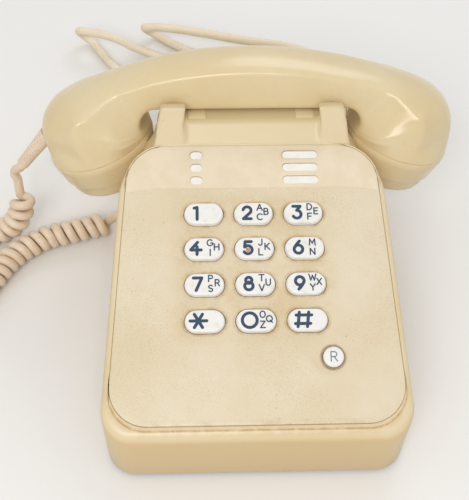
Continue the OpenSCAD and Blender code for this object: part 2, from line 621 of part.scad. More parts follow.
// Points between the given ones, on a smooth curve through them.
function spline(p, n) = [for (i = [0:len(p) - 2], k = [0:n - 1]) let(t = k / n,
    a = p[max(i - 1, 0)], b = p[i], c = p[i + 1], d = p[min(i + 2, len(p) - 1)])
    0.5 * (2 * b + (c - a) * t + (2 * a - 5 * b + 4 * c - d) * t * t + (3 * b - a - 3 * c + d) * t * t * t)];
function with_end(p, n) = concat(spline(p, n), [p[len(p) - 1]]);
function unit(v) = v / norm(v);
function way(p, i) = unit(p[min(i + 1, len(p) - 1)] - p[max(i - 1, 0)]);
function square_to(n, t) = unit(n - (n * t) * t);
// A side direction at each point that turns no more than the curve does.
function side_ways(p, n0) = [for (i = 0, n = square_to(n0, way(p, 0)); i < len(p);
    i = i + 1, n = i < len(p) ? square_to(n, way(p, i)) : n) n];
// The lengths from the start of a curve to each of its points.
function lengths(p) = [for (i = 0, s = 0; i < len(p); i = i + 1, s = i < len(p) ? s + norm(p[i] - p[i - 1]) : s) s];

module tube(p, r, n) {
    ways = side_ways(p, [0.1, 0.05, 1]);
    skin([for (i = [0:len(p) - 1]) let(t = way(p, i), u = ways[i], v = cross(t, u))
        [for (k = [0:n - 1]) p[i] + r * (cos(360 * (k + 0.5) / n) * u - sin(360 * (k + 0.5) / n) * v)]], n);
}

// Line cord: out of the rear wall, two loops on the table, then the stored coil and its plug.
line_r = line_d / 2;
coil_at = [86, 118];
coil_r = 35;
coil_way = 3.875;
coil_lead = 6;
line_route = [[-20, 115, 8.5], [-20, 121, 8.5], [-22.5, 127, 7], [-29, 132.5, 4], [-38, 136.5, 2.5],
    [-48, 140.5, 2.4], [-60, 147.5, 2.4], [-71, 157, 2.4], [-81, 168, 2.4], [-89, 180, 2.4],
    [-95, 190, 2.4], [-98, 193, 3.5], [-101.5, 194, 6], [-104, 193, 10], [-104, 190, 13.5],
    [-101.5, 187, 16], [-97.5, 185.5, 16.5], [-87, 183, 16], [-78, 182, 13], [-70, 181.5, 8],
    [-62, 180.5, 4.5], [-53, 178, 2.6], [-42, 174, 2.4], [-28, 168, 2.4], [-14, 161.5, 2.4],
    [-3, 157.5, 2.4], [8, 156, 2.4], [16, 158.5, 2.4], [19.5, 165.5, 2.4], [16, 173, 2.4], [8, 176.5, 2.4],
    [-6, 177, 2.4], [-20, 178.5, 2.4], [-32, 182.5, 2.4], [-43, 189.5, 2.4], [-52, 197, 2.4],
    [-56, 199, 3.5], [-59.5, 199, 6], [-61.5, 197.5, 9], [-61.5, 194.5, 12.5], [-59, 191.5, 15],
    [-54.5, 190.5, 16], [-47, 189, 16.5], [-36, 187.5, 16], [-21, 186, 14], [-5, 185, 11], [8, 185.5, 8],
    [21, 186, 5.5], [33, 185, 3.5], [43, 182.5, 2.5], [50.5, 177, 2.4], [56, 171, 2.4], [61, 163.5, 2.4],
    [67, 157, 2.4], [73.5, 153.5, 2.4], [77, 153, 2.4], [80, 153, 2.4]];
plug_route = [[51, 124, 7.7], [51, 128, 7.7], [50, 132.6, 8.1], [47.5, 136.5, 8.4], [43.5, 139.2, 8.5], [39, 140, 8.5],
    [35, 140, 8.5]];

// The coil spirals in on the table and out again on its second layer, and climbs where it turns.
function tri(u) = let(k = floor(u / coil_way), f = u - k * coil_way) k % 2 == 0 ? f : coil_way - f;
function climb(u) = min(1, max(0, (u - coil_way + 0.25) / 0.5));
function coil_point(u) = let(r = coil_r - coil_pitch * tri(u), a = 90 - 360 * u)
    [coil_at[0] + r * cos(a), coil_at[1] + r * sin(a), line_r + coil_pitch * climb(u)];
coil_n = round(2 * coil_way * 24);
coil_path = concat([[coil_at[0] - coil_lead, coil_at[1] + coil_r, line_r]],
    [for (k = [0:coil_n]) coil_point(2 * coil_way * k / coil_n)],
    [coil_point(2 * coil_way) + [0, coil_lead, 0]]);

module line_cord() color(cord_beige) {
    tube(line_route, line_r, 8);
    tube(plug_route, line_r, 8);
}
module line_coil() color(cord_beige) tube(coil_path, line_r, 6);

// Wall plug of the line cord, lying on its side on the table.
plug_at = [35, 140, 8.5];
module line_plug() color([0.88, 0.84, 0.76]) translate(plug_at) {
    translate([-10, 0, 0]) rotate([0, 90, 0]) cylinder(r1 = 5, r2 = 3.4, h = 10);
    translate([-40, -12, -plug_at[2]]) linear_extrude(17) offset(r = 3, $fn = 24) offset(delta = -3) square([31, 24]);
    bar([-51, -8, -5], [-39, 8, 5]);
}

// Curly cord: from the left wall over the table to the handset's boot. The middle of the route carries the curls.
boot_world = [boot_dir[0], boot_dir[2] * sin(lean), boot_dir[2] * cos(lean)];
function boot_point(k) = [boot_at[0], seat_y + boot_at[2] * sin(lean), seat_z + boot_at[2] * cos(lean)] + k * boot_world;
curl_z = curl_r + curl_wire / 2 + 0.1;
curl_route = concat(
    [for (p = [[-76, 35], [-81, 34], [-87, 32], [-94, 30], [-101, 28], [-108, 26], [-115, 22], [-121, 18], [-127, 12],
        [-131, 6], [-135, -1], [-140, -10]]) [p[0], p[1], curl_z]],
    [for (p = arc(-174, -5, 33, -27, -267, 11)) [p[0], p[1], curl_z]],
    [[-165, 28.3, curl_z], [-154, 28, curl_z], [-143, 28, curl_z], [-137, 28.3, 7.9], [-131.5, 29, 10.1],
        [-126.8, 30.3, 13.7], [-123.2, 32, 18.3], [-121.2, 34.4, 23.4], [-120.3, 37.2, 29]]);
lead_in = [[-60.3, 34, 16], [-66.5, 34, 16], [-70.5, 35, 14], [-73.5, 37, 9.5]];
lead_out = [[-122, 42, 37], [-123, 42, 40], [-122, 42, 44]];
axis_curve = with_end(curl_route, 6);
axis_sides = side_ways(axis_curve, [0, 0, 1]);
axis_len = lengths(axis_curve);
curl_total = axis_len[len(axis_len) - 1];
curl_n = floor(curl_total / curl_pitch);
function index_at(s, lo, hi) = hi - lo < 2 ? lo : let(m = floor((lo + hi) / 2)) axis_len[m] <= s ? index_at(s, m, hi)
    : index_at(s, lo, m);
function curl_point(k) = let(
    s = curl_total * k / (8 * curl_n),
    i = min(index_at(s, 0, len(axis_len) - 1), len(axis_len) - 2),
    f = (s - axis_len[i]) / (axis_len[i + 1] - axis_len[i]),
    p = mix(axis_curve[i], axis_curve[i + 1], f),
    u = unit(mix(axis_sides[i], axis_sides[i + 1], f)),
    t = unit(axis_curve[i + 1] - axis_curve[i]),
    v = cross(t, u), a = 45 * k)
    p + curl_r * (cos(a) * u + sin(a) * v);
curl_path = concat(lead_in, [for (k = [3:8 * curl_n - 2]) curl_point(k)], lead_out,
    [boot_point(boot_len + 3), boot_point(boot_len - 1), boot_point(boot_len - 5.9)]);

module handset_cord() color(cord_beige) tube(curl_path, curl_wire / 2, 6);

// Least gap between a wound tube's own turns, measured on the points of its middle.
function self_gap(p, d, skip) = min([for (i = [0:len(p) - 1]) for (j = [i + skip:1:len(p) - 1]) norm(p[i] - p[j])]) - d;
echo(coil_gap = self_gap(coil_path, line_d, 12), curl_gap = self_gap(curl_path, curl_wire, 5),
    curls = curl_n, coil_length = lengths(coil_path)[len(coil_path) - 1],
    line_length = lengths(line_route)[len(line_route) - 1],
    curl_length = lengths(curl_path)[len(curl_path) - 1]);

body_cover();
base_plate();
feet();
cover_screws();
faceplate();
label_card();
label_window();
key_r_ring();
keypad_board();
key_switches();
keypad_screws();
hook_switch();
hook_plunger();
main_board();
transformer();
capacitors();
terminal_block();
ringer_frame();
ringer_coil();
ringer_clapper();
gong_left();
gong_right();
gong_screws();
line_cord_grip();
handset_cord_grip();
line_cord();
line_coil();
line_plug();
key(key_at(0, 0));  // key_1
key(key_at(1, 0));  // key_2
key(key_at(2, 0));  // key_3
key(key_at(0, 1));  // key_4
key(key_at(1, 1));  // key_5
key(key_at(2, 1));  // key_6
key(key_at(0, 2));  // key_7
key(key_at(1, 2));  // key_8
key(key_at(2, 2));  // key_9
key(key_at(0, 3));  // key_star
key(key_at(1, 3));  // key_0
key(key_at(2, 3));  // key_hash
key_r();
handset_shell();
mouth_cap();
ear_cap();
mouth_capsule();
ear_capsule();
handset_boot();
handset_cord();
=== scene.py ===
import math
import bpy
import bmesh
import numpy as np
from mathutils import Matrix, Vector


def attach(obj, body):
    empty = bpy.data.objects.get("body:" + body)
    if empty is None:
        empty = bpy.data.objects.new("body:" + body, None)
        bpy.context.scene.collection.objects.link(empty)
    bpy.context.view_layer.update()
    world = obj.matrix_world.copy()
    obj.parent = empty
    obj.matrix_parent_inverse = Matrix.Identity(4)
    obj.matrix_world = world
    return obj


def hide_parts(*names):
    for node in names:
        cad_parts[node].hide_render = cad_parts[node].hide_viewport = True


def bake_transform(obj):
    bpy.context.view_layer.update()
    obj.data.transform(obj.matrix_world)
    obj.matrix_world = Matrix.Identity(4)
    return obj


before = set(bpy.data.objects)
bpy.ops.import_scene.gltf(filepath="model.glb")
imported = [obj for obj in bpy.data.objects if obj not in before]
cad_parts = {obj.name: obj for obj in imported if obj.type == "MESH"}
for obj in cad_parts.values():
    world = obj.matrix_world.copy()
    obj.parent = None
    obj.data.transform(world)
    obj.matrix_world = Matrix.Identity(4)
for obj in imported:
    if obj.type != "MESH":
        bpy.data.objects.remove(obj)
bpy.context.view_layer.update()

MM = 0.001
rad = math.radians

# ---------------- camera
yaw, tip, roll = rad(-2.5), rad(53.18), rad(1.28)
back = Vector((math.sin(yaw) * math.cos(tip), -math.cos(yaw) * math.cos(tip), math.sin(tip)))
right = Vector((math.cos(yaw), math.sin(yaw), 0))
up = right.cross(-back)
cam_x = right * math.cos(roll) + up * math.sin(roll)
cam_y = -right * math.sin(roll) + up * math.cos(roll)
cam_at = Vector((-8.47, -16.78, 50.0)) * MM + back * 431.6 * MM
camera_data = bpy.data.cameras.new("camera")
camera_data.lens = 64.27
camera_data.sensor_width = 36
camera_data.clip_start = 0.01
camera_data.clip_end = 20
camera = bpy.data.objects.new("camera", camera_data)
bpy.context.scene.collection.objects.link(camera)
camera.matrix_world = Matrix((
    (cam_x[0], cam_y[0], back[0], cam_at[0]), (cam_x[1], cam_y[1], back[1], cam_at[1]),
    (cam_x[2], cam_y[2], back[2], cam_at[2]), (0, 0, 0, 1)))
bpy.context.scene.camera = camera

# ---------------- sizes of the object, in millimetres
BODY_L, FRONT_W, REAR_W, FRONT_H, TILT, FACE_LEN = 220, 140.3, 110.6, 37.6, 20.3, 137.5
EDGE_R, FRONT_R, FACE_R, REAR_R = 4, 14, 28, 24
PLATE_S, PLATE_R, PLATE_LOW_R, MARGIN = 6.2, 19, 17, 3.4
SHOULDER_H, REAR_H, SHOULDER_STEP, COVER_Z = 35, 16, 1.2, 2
LEAN, NECK_W, HORN_GAP, SADDLE_T, HORN_H, HORN_D = 11, 82, 62, 20.5, 8, 5
GRIP_HW, CUP_DIST, CUP_R, CUP_TILT = 13.6, 150, 27, 16.5
PAD_X = HORN_GAP / 2 - 5.2
KEY_L, KEY_W, KEY_PITCH, ROW_PITCH, ROW_4 = 17.8, 10.2, 23.0, 16.8, 51.8
COS_TILT, SIN_TILT = math.cos(rad(TILT)), math.sin(rad(TILT))
TOP_Y = -BODY_L / 2 + FACE_LEN * COS_TILT
TOP_Z = FRONT_H + FACE_LEN * SIN_TILT
SEAT_Y, SEAT_Z = TOP_Y + 23.5, TOP_Z - 15.8
HORN_T, GRIP_T = SADDLE_T + HORN_H, SADDLE_T + 0.3
TROUGH_V = GRIP_HW + 0.4 + 1.2
HORN_V = TROUGH_V + HORN_D


def half_w(y):
    return FRONT_W / 2 - (FRONT_W - REAR_W) / 2 * (y + BODY_L / 2) / BODY_L


def hook(v, t):
    """A point of the side view, v in front of the cradle's middle and t above the cup rims."""
    a = rad(LEAN)
    return (SEAT_Y + t * math.sin(a) - v * math.cos(a), SEAT_Z + t * math.cos(a) + v * math.sin(a))


def from_hook(x, w, t):
    """Cradle coordinates (x across, w towards the rear, t up along the way out) to the row frame, in mm."""
    y, z = hook(-w, t)
    return (x, y, z)


def face(x, s, n):
    """A point of the sloping face: x across, s up the slope from its front edge and n above it."""
    return (x, -BODY_L / 2 + s * COS_TILT - n * SIN_TILT, FRONT_H + s * SIN_TILT + n * COS_TILT)


def mix(a, b, k):
    return a + (b - a) * k


def smooth(k):
    c = min(1.0, max(0.0, k))
    return c * c * (3 - 2 * c)


def key(a, *pairs):
    """Interpolates between (angle, value) pairs."""
    if a <= pairs[0][0]:
        return pairs[0][1]
    for (a0, v0), (a1, v1) in zip(pairs, pairs[1:]):
        if a <= a1:
            return mix(v0, v1, (a - a0) / (a1 - a0))
    return pairs[-1][1]


# ---------------- mesh helpers
def linked(name, me):
    obj = bpy.data.objects.new(name, me)
    bpy.context.scene.collection.objects.link(obj)
    return obj


def from_bmesh(name, bm):
    me = bpy.data.meshes.new(name)
    bm.to_mesh(me)
    bm.free()
    return linked(name, me)


def make(name, verts, faces, angle):
    me = bpy.data.meshes.new(name)
    me.from_pydata([tuple(c * MM for c in v) for v in verts], [], faces)
    me.validate()
    obj = linked(name, me)
    tidy(obj, angle)
    return obj


def tidy(obj, angle=35):
    """Turns all faces outwards and shades them smooth up to an angle between them."""
    bm = bmesh.new()
    bm.from_mesh(obj.data)
    bmesh.ops.recalc_face_normals(bm, faces=bm.faces)
    bm.to_mesh(obj.data)
    bm.free()
    obj.data.shade_smooth()
    obj.data.set_sharp_from_angle(angle=rad(angle))


def applied(obj):
    """Bakes the modifiers into the mesh."""
    dg = bpy.context.evaluated_depsgraph_get()
    me = bpy.data.meshes.new_from_object(obj.evaluated_get(dg))
    obj.modifiers.clear()
    old = obj.data
    obj.data = me
    bpy.data.meshes.remove(old)
    obj.data.name = obj.name
    tidy(obj)


def drop(obj):
    me = obj.data
    bpy.data.objects.remove(obj)
    if me.users == 0:
        bpy.data.meshes.remove(me)


def boolean(obj, cutter, how):
    m = obj.modifiers.new("b", "BOOLEAN")
    m.operation, m.solver, m.object = how, "EXACT", cutter
    applied(obj)
    drop(cutter)


def cut(obj, cutter):
    boolean(obj, cutter, "DIFFERENCE")


def keep(obj, cutter):
    boolean(obj, cutter, "INTERSECT")


def bevel(obj, width):
    m = obj.modifiers.new("v", "BEVEL")
    m.width, m.segments, m.limit_method, m.angle_limit = width * MM, 3, "ANGLE", rad(30)
    m.use_clamp_overlap = True
    applied(obj)


def loft(name, rings, cap_start="fan", cap_end="fan", angle=35):
    """Joins rings of equally many points. A ladder cap joins the mirrored points of a ring of two halves."""
    n = len(rings[0])
    verts = [p for r in rings for p in r]
    faces = []
    for i in range(len(rings) - 1):
        for k in range(n):
            a, b = i * n + k, i * n + (k + 1) % n
            faces.append((a, b, b + n, a + n))
    for cap, base in ((cap_start, 0), (cap_end, (len(rings) - 1) * n)):
        if cap == "fan":
            faces.append(tuple(base + k for k in range(n)))
        elif cap == "ladder":
            for k in range(n // 2 - 1):
                faces.append((base + k, base + k + 1, base + n - 2 - k, base + n - 1 - k))
    return make(name, verts, faces, angle)


def prism(name, poly, place, lo, hi):
    """A flat outline moved from lo to hi along the third direction by place(a, b, c)."""
    return loft(name, [[place(a, b, c) for a, b in poly] for c in (lo, hi)])


def bow(x, y, r, a0, a1, wide=1.0, n=12):
    """Part of a circle from angle a0 to a1 in n steps, wide times as wide as high."""
    turns = [rad(mix(a0, a1, k / n)) for k in range(n + 1)]
    return [(x + wide * r * math.cos(a), y + r * math.sin(a)) for a in turns]


def arc(x, y, r, a0, a1, n):
    return bow(x, y, r, a0, a1, 1.0, n)


def circle(r, n, x=0, y=0):
    return [(x + r * math.cos(2 * math.pi * k / n), y + r * math.sin(2 * math.pi * k / n)) for k in range(n)]


def between(a, b, n):
    """The points that part the line from a to b into n."""
    return [(mix(a[0], b[0], k / n), mix(a[1], b[1], k / n)) for k in range(1, n)]


def mirrored(p):
    return p + [(-x, y) for x, y in reversed(p)]


# ---------------- cords
def spline(p, n):
    p = np.array(p, float)
    out = []
    for i in range(len(p) - 1):
        a, b, c, d = p[max(i - 1, 0)], p[i], p[i + 1], p[min(i + 2, len(p) - 1)]
        for k in range(n):
            t = k / n
            out.append(0.5 * (2 * b + (c - a) * t + (2 * a - 5 * b + 4 * c - d) * t * t
                              + (3 * b - a - 3 * c + d) * t ** 3))
    out.append(p[-1])
    return np.array(out)


def ways(p):
    t = np.empty_like(p)
    t[1:-1] = p[2:] - p[:-2]
    t[0], t[-1] = p[1] - p[0], p[-1] - p[-2]
    return t / np.linalg.norm(t, axis=1)[:, None]


def side_ways(t, start):
    out = []
    n = np.array(start, float)
    for w in t:
        n = n - (n @ w) * w
        n = n / np.linalg.norm(n)
        out.append(n)
    return np.array(out)


def tube(name, path, radius, sides, wide=None):
    """A mesh tube along path, in mm. wide gives each point's sideways stretch."""
    t = ways(path)
    u = side_ways(t, (0.1, 0.05, 1))
    v = np.cross(t, u)
    wide = np.ones(len(path)) if wide is None else wide
    round_way = circle(1, sides)
    rings = [[tuple(path[i] + radius * (c * u[i] - wide[i] * s * v[i])) for c, s in round_way]
             for i in range(len(path))]
    return loft(name, rings, angle=60)


line_route = [(-20, 115, 8.5), (-20, 121, 8.5), (-22.5, 127, 7), (-29, 132.5, 4), (-38, 136.5, 2.5),
    (-48, 140.5, 2.4), (-60, 147.5, 2.4), (-71, 157, 2.4), (-81, 168, 2.4), (-89, 180, 2.4),
    (-95, 190, 2.4), (-98, 193, 3.5), (-101.5, 194, 6), (-104, 193, 10), (-104, 190, 13.5),
    (-101.5, 187, 16), (-97.5, 185.5, 16.5), (-87, 183, 16), (-78, 182, 13), (-70, 181.5, 8),
    (-62, 180.5, 4.5), (-53, 178, 2.6), (-42, 174, 2.4), (-28, 168, 2.4), (-14, 161.5, 2.4),
    (-3, 157.5, 2.4), (8, 156, 2.4), (16, 158.5, 2.4), (19.5, 165.5, 2.4), (16, 173, 2.4), (8, 176.5, 2.4),
    (-6, 177, 2.4), (-20, 178.5, 2.4), (-32, 182.5, 2.4), (-43, 189.5, 2.4), (-52, 197, 2.4),
    (-56, 199, 3.5), (-59.5, 199, 6), (-61.5, 197.5, 9), (-61.5, 194.5, 12.5), (-59, 191.5, 15),
    (-54.5, 190.5, 16), (-47, 189, 16.5), (-36, 187.5, 16), (-21, 186, 14), (-5, 185, 11), (8, 185.5, 8),
    (21, 186, 5.5), (33, 185, 3.5), (43, 182.5, 2.5), (50.5, 177, 2.4), (56, 171, 2.4), (61, 163.5, 2.4),
    (67, 157, 2.4), (73.5, 153.5, 2.4), (77, 153, 2.4), (80, 153, 2.4)]
plug_route = [(51, 124, 7.7), (51, 128, 7.7), (50, 132.6, 8.1), (47.5, 136.5, 8.4), (43.5, 139.2, 8.5),
    (39, 140, 8.5), (35, 140, 8.5)]
COIL_WAY, COIL_PITCH, COIL_R = 3.875, 5.3, 35


def coil_point(u):
    k = math.floor(u / COIL_WAY)
    f = u - k * COIL_WAY
    tri = f if k % 2 == 0 else COIL_WAY - f
    r, a = COIL_R - COIL_PITCH * tri, rad(90 - 360 * u)
    climb = min(1, max(0, (u - COIL_WAY + 0.25) / 0.5))
    return (86 + r * math.cos(a), 118 + r * math.sin(a), 2.4 + COIL_PITCH * climb)


coil_turns = [coil_point(2 * COIL_WAY * k / 372) for k in range(373)]
line_way = np.vstack([spline(line_route, 6), coil_turns, spline(plug_route, 5)]) + [0, 0, 0.28]
wide = np.ones(len(line_way))
for i, p in enumerate(line_way):
    if 183 < p[1] < 200 and -66 < p[0] < 45 and (p[2] > 9 or p[0] > -30):
        wide[i] = 1 + 0.42 * smooth((p[0] + 66) / 22) * smooth((45 - p[0]) / 25)
line_lead = tube("line_lead", line_way, 2.6, 14, wide)

# curly cord
CURL_R, CURL_WIRE, CURL_PITCH, CURL_Z = 5, 3.9, 5.6, 7.05
boot_turn = rad(-141)
boot_way = np.array([math.sin(boot_turn), math.cos(boot_turn) * math.sin(rad(LEAN)),
                     math.cos(boot_turn) * math.cos(rad(LEAN))])
boot_base = np.array(from_hook(-CUP_DIST / 2 - CUP_R + 0.8, 0, 0.8))
curl_flat = ([(-76, 35), (-81, 34), (-87, 32), (-94, 30), (-101, 28), (-108, 26), (-115, 22), (-121, 18),
              (-127, 12), (-131, 6), (-135, -1), (-140, -10)] + arc(-174, -5, 33, -27, -267, 11)
             + [(-165, 28.3), (-154, 28), (-143, 28)])
curl_route = [(x, y, CURL_Z) for x, y in curl_flat]
curl_route += [(-137, 28.3, 7.9), (-131.5, 29, 10.1), (-126.8, 30.3, 13.7), (-123.2, 32, 18.3),
               (-121.2, 34.4, 23.4), (-120.3, 37.2, 29)]
axis_curve = spline(curl_route, 6)
axis_sides = side_ways(ways(axis_curve), (0, 0, 1))
axis_len = np.concatenate([[0], np.cumsum(np.linalg.norm(np.diff(axis_curve, axis=0), axis=1))])
curl_total = axis_len[-1]
curl_n = int(curl_total // CURL_PITCH)
WIRE = 2.45
TURN = 16


def curl_point(k):
    s = curl_total * k / (TURN * curl_n)
    i = min(int(np.searchsorted(axis_len, s, side="right")) - 1, len(axis_len) - 2)
    f = (s - axis_len[i]) / (axis_len[i + 1] - axis_len[i])
    p = mix(axis_curve[i], axis_curve[i + 1], f)
    u = mix(axis_sides[i], axis_sides[i + 1], f)
    u = u / np.linalg.norm(u)
    t = axis_curve[i + 1] - axis_curve[i]
    t = t / np.linalg.norm(t)
    a = 2 * math.pi * k / TURN
    # the rings lie a little askew, as the real ones do
    lag = 0.45 * math.sin(a + 0.9)
    return p + (CURL_R + CURL_WIRE / 2 - WIRE) * (math.cos(a) * u + math.sin(a) * np.cross(t, u)) + lag * t


curl_way = [(-60.3, 34, 16), (-66.5, 34, 16), (-70.5, 35, 14), (-73.5, 37, 9.5)]
curl_way += [tuple(curl_point(k)) for k in range(6, TURN * curl_n - 3)]
curl_way += [(-122, 42, 37), (-123, 42, 40), (-122, 42, 44)]
curl_way += [tuple(boot_base + k * boot_way) for k in (27, 23, 18.1)]
curl_way = spline(curl_way, 2)
curly_lead = tube("curly_lead", curl_way, WIRE, 12)

# ---------------- materials


class Nodes:
    """Builds a node tree with short calls."""

    def __init__(self, name):
        self.mat = bpy.data.materials.new(name)
        self.mat.use_nodes = True
        self.t = self.mat.node_tree
        self.bsdf = self.t.nodes["Principled BSDF"]
        self.coord = self.t.nodes.new("ShaderNodeTexCoord").outputs["Object"]

    def put(self, kind, **inputs):
        n = self.t.nodes.new(kind)
        for k, v in inputs.items():
            self.wire(n, k, v)
        return n

    def wire(self, n, key, v):
        """Sets a socket, named by its label or by i and its number, to a value or joins it to another."""
        sock = n.inputs[int(key[1:]) if key[0] == "i" and key[1:].isdigit() else key.replace("_", " ")]
        if isinstance(v, bpy.types.NodeSocket):
            self.t.links.new(v, sock)
        else:
            sock.default_value = v

    def noise(self, scale, detail=3, rough=0.5):
        n = self.put("ShaderNodeTexNoise", Vector=self.coord, Scale=scale, Detail=detail, Roughness=rough)
        return n.outputs["Fac"]

    def ramp(self, fac, lo, hi):
        n = self.put("ShaderNodeMapRange", i0=fac, i1=lo, i2=hi)
        n.interpolation_type = "SMOOTHSTEP"
        return n.outputs[0]

    def math(self, op, a, b=0.0, c=None):
        n = self.put("ShaderNodeMath", i0=a, i1=b)
        if c is not None:
            self.wire(n, "i2", c)
        n.operation = op
        return n.outputs[0]

    def times(self, a, b):
        return self.math("MULTIPLY", a, b)

    def span(self, a, k, low):
        return self.math("MULTIPLY_ADD", a, k, low)

    def uneven(self, scale, k, low):
        return self.span(self.noise(scale), k, low)

    def mix(self, fac, a, b):
        n = self.put("ShaderNodeMix")
        n.data_type = "RGBA"
        for k, v in (("i0", fac), ("i6", a), ("i7", b)):
            self.wire(n, k, v)
        return n.outputs[2]

    def clouds(self, scale, base, shade, lo=0.3, hi=0.7, detail=4):
        return self.mix(self.ramp(self.noise(scale, detail, 0.6), lo, hi), lin(base), lin(shade))

    def upward(self):
        """The upward part of the surface's direction."""
        normal = self.put("ShaderNodeTexCoord").outputs["Normal"]
        return self.put("ShaderNodeSeparateXYZ", Vector=normal).outputs[2]

    def bump(self, height, strength, distance):
        return self.put("ShaderNodeBump", Height=height, Strength=strength, Distance=distance).outputs[0]

    def done(self, colour, rough, normal=None, **uniform):
        self.wire(self.bsdf, "Base_Color", colour)
        self.wire(self.bsdf, "Roughness", rough)
        if normal is not None:
            self.wire(self.bsdf, "Normal", normal)
        for k, v in uniform.items():
            self.bsdf.inputs[k.replace("_", " ")].default_value = v
        return self.mat


def lin(h):
    c = [int(h[i:i + 2], 16) / 255 for i in (0, 2, 4)]
    return tuple(x / 12.92 if x <= 0.04045 else ((x + 0.055) / 1.055) ** 2.4 for x in c) + (1.0,)


def shell_plastic(name, base, shade, dirt, speck=0.35, rough=0.34, spots=620):
    """Aged moulded plastic: cloudy yellowing, fine specks of dirt, faint grain and uneven gloss."""
    m = Nodes(name)
    cloud = m.ramp(m.noise(22, 4, 0.55), 0.3, 0.72)
    fine = m.ramp(m.noise(140, 5, 0.6), 0.35, 0.75)
    col = m.mix(cloud, lin(base), lin(shade))
    col = m.mix(m.times(fine, 0.3), col, lin(shade))
    dots = m.ramp(m.noise(spots, 2, 0.4), 0.7, 0.78)
    where = m.ramp(m.noise(35, 3, 0.6), 0.4, 0.65)
    col = m.mix(m.times(m.times(dots, where), speck), col, lin(dirt))
    r = m.span(m.noise(60, 4, 0.6), 0.16, rough - 0.08)
    return m, col, r, m.noise(2600, 2, 0.5)


def body_done(m, col, r, grain):
    return m.done(col, r, m.bump(grain, 0.12, 0.00008), Specular_IOR_Level=0.5, Coat_Weight=0.08,
                  Coat_Roughness=0.3)


BODY_COLOURS = ("EBDBB9", "E5D3AC", "9A7A48")
M_BODY = body_done(*shell_plastic("body_cream", *BODY_COLOURS))

m, col, r, grain = shell_plastic("handset_cream", "E8D7B0", "E2CDA0", "8C6A3C", 0.2, 0.24)
M_HANDSET = m.done(col, r, m.bump(grain, 0.08, 0.00006), Specular_IOR_Level=0.5, Coat_Weight=0.2,
                   Coat_Roughness=0.16)

m, col, r, grain = shell_plastic("base_cream", "CDB48A", "BFA376", "6A4E2C", 0.5, 0.45)
M_BASE = m.done(col, r, m.bump(grain, 0.2, 0.0001))


def face_place(m):
    """Coordinates x and s on the sloping face, in millimetres."""
    p = m.put("ShaderNodeVectorMath", i0=m.coord, i1=tuple(c * MM for c in (0, -BODY_L / 2, FRONT_H)))
    p.operation = "SUBTRACT"
    turn = m.put("ShaderNodeVectorRotate", Vector=p.outputs[0], Angle=rad(-TILT))
    turn.rotation_type = "X_AXIS"
    q = m.put("ShaderNodeSeparateXYZ", Vector=turn.outputs[0])
    return m.times(q.outputs[0], 1000), m.times(q.outputs[1], 1000)


def far(m, x, s, cx, cs, hx, hs):
    """Distance to a box about (cx, cs) with half sides hx and hs, or to a point where they are nought."""
    ex = m.math("MAXIMUM", m.math("SUBTRACT", m.math("ABSOLUTE", m.math("SUBTRACT", x, cx)), hx), 0.0)
    es = m.math("MAXIMUM", m.math("SUBTRACT", m.math("ABSOLUTE", m.math("SUBTRACT", s, cs)), hs), 0.0)
    return m.math("SQRT", m.math("ADD", m.times(ex, ex), m.times(es, es)))


def plate_material():
    m, col, r, grain = shell_plastic("plate_cream", "E9DDC4", "E2D3B4", "7A5A34", 0.5, 0.36, 760)
    x, s = face_place(m)
    # a fine mottle of dust in the grain
    dust = m.ramp(m.noise(1900, 2, 0.6), 0.45, 0.7)
    patch = m.span(m.ramp(m.noise(28, 3, 0.6), 0.35, 0.65), 0.2, 0.08)
    col = m.mix(m.times(dust, patch), col, lin("B08F5E"))
    # distance to the nearest key's outline, from the repeating grid
    half_x, half_s = KEY_PITCH / 2, ROW_PITCH / 2
    cx = m.math("SUBTRACT", m.math("WRAP", m.math("ADD", x, half_x), KEY_PITCH, 0.0), half_x)
    cs = m.math("SUBTRACT", m.math("WRAP", m.math("SUBTRACT", s, ROW_4 - half_s), ROW_PITCH, 0.0), half_s)
    d = m.math("SUBTRACT", far(m, cx, cs, 0.0, 0.0, 3.9, 0.0), 5.5)
    pad = far(m, x, s, 0.0, 77.0, 31.5, 29.0)
    inside = m.math("LESS_THAN", pad, 3.0)
    # brown dirt that gathers along each key's slot
    ring = m.ramp(d, 1.9, 0.0)
    blotch = m.ramp(m.noise(190, 4, 0.65), 0.36, 0.7)
    fac = m.times(m.times(ring, inside), m.span(blotch, 0.62, 0.1))
    col = m.mix(fac, col, lin("A57C3E"))
    # tan haze round the whole keypad and round the recall key
    near = m.math("MAXIMUM", m.ramp(pad, 9.0, 0.0), m.ramp(far(m, x, s, 32.2, 36.0, 0.0, 0.0), 10.5, 5.0))
    veil = m.ramp(m.noise(75, 5, 0.65), 0.38, 0.72)
    col = m.mix(m.times(near, m.span(veil, 0.34, 0.05)), col, lin("CFAF76"))
    out = far(m, x, s, RECALL_AT[0], RECALL_AT[1], 0.0, 0.0)
    ring = m.ramp(m.math("ABSOLUTE", m.math("SUBTRACT", out, 5.6)), 0.8, 0.1)
    col = m.mix(m.times(ring, m.span(blotch, 0.4, 0.1)), col, lin("9A7038"))
    # grime that has crept in from the lower edge
    low = m.times(m.ramp(s, 9.5, 6.6), m.span(m.ramp(m.noise(160, 5, 0.7), 0.42, 0.7), 0.3, 0.04))
    col = m.mix(low, col, lin("B08A52"))
    bumps = m.bump(m.math("ADD", grain, m.times(dust, 0.4)), 0.16, 0.0001)
    return m.done(col, m.span(fac, 0.25, r), bumps, Specular_IOR_Level=0.5)


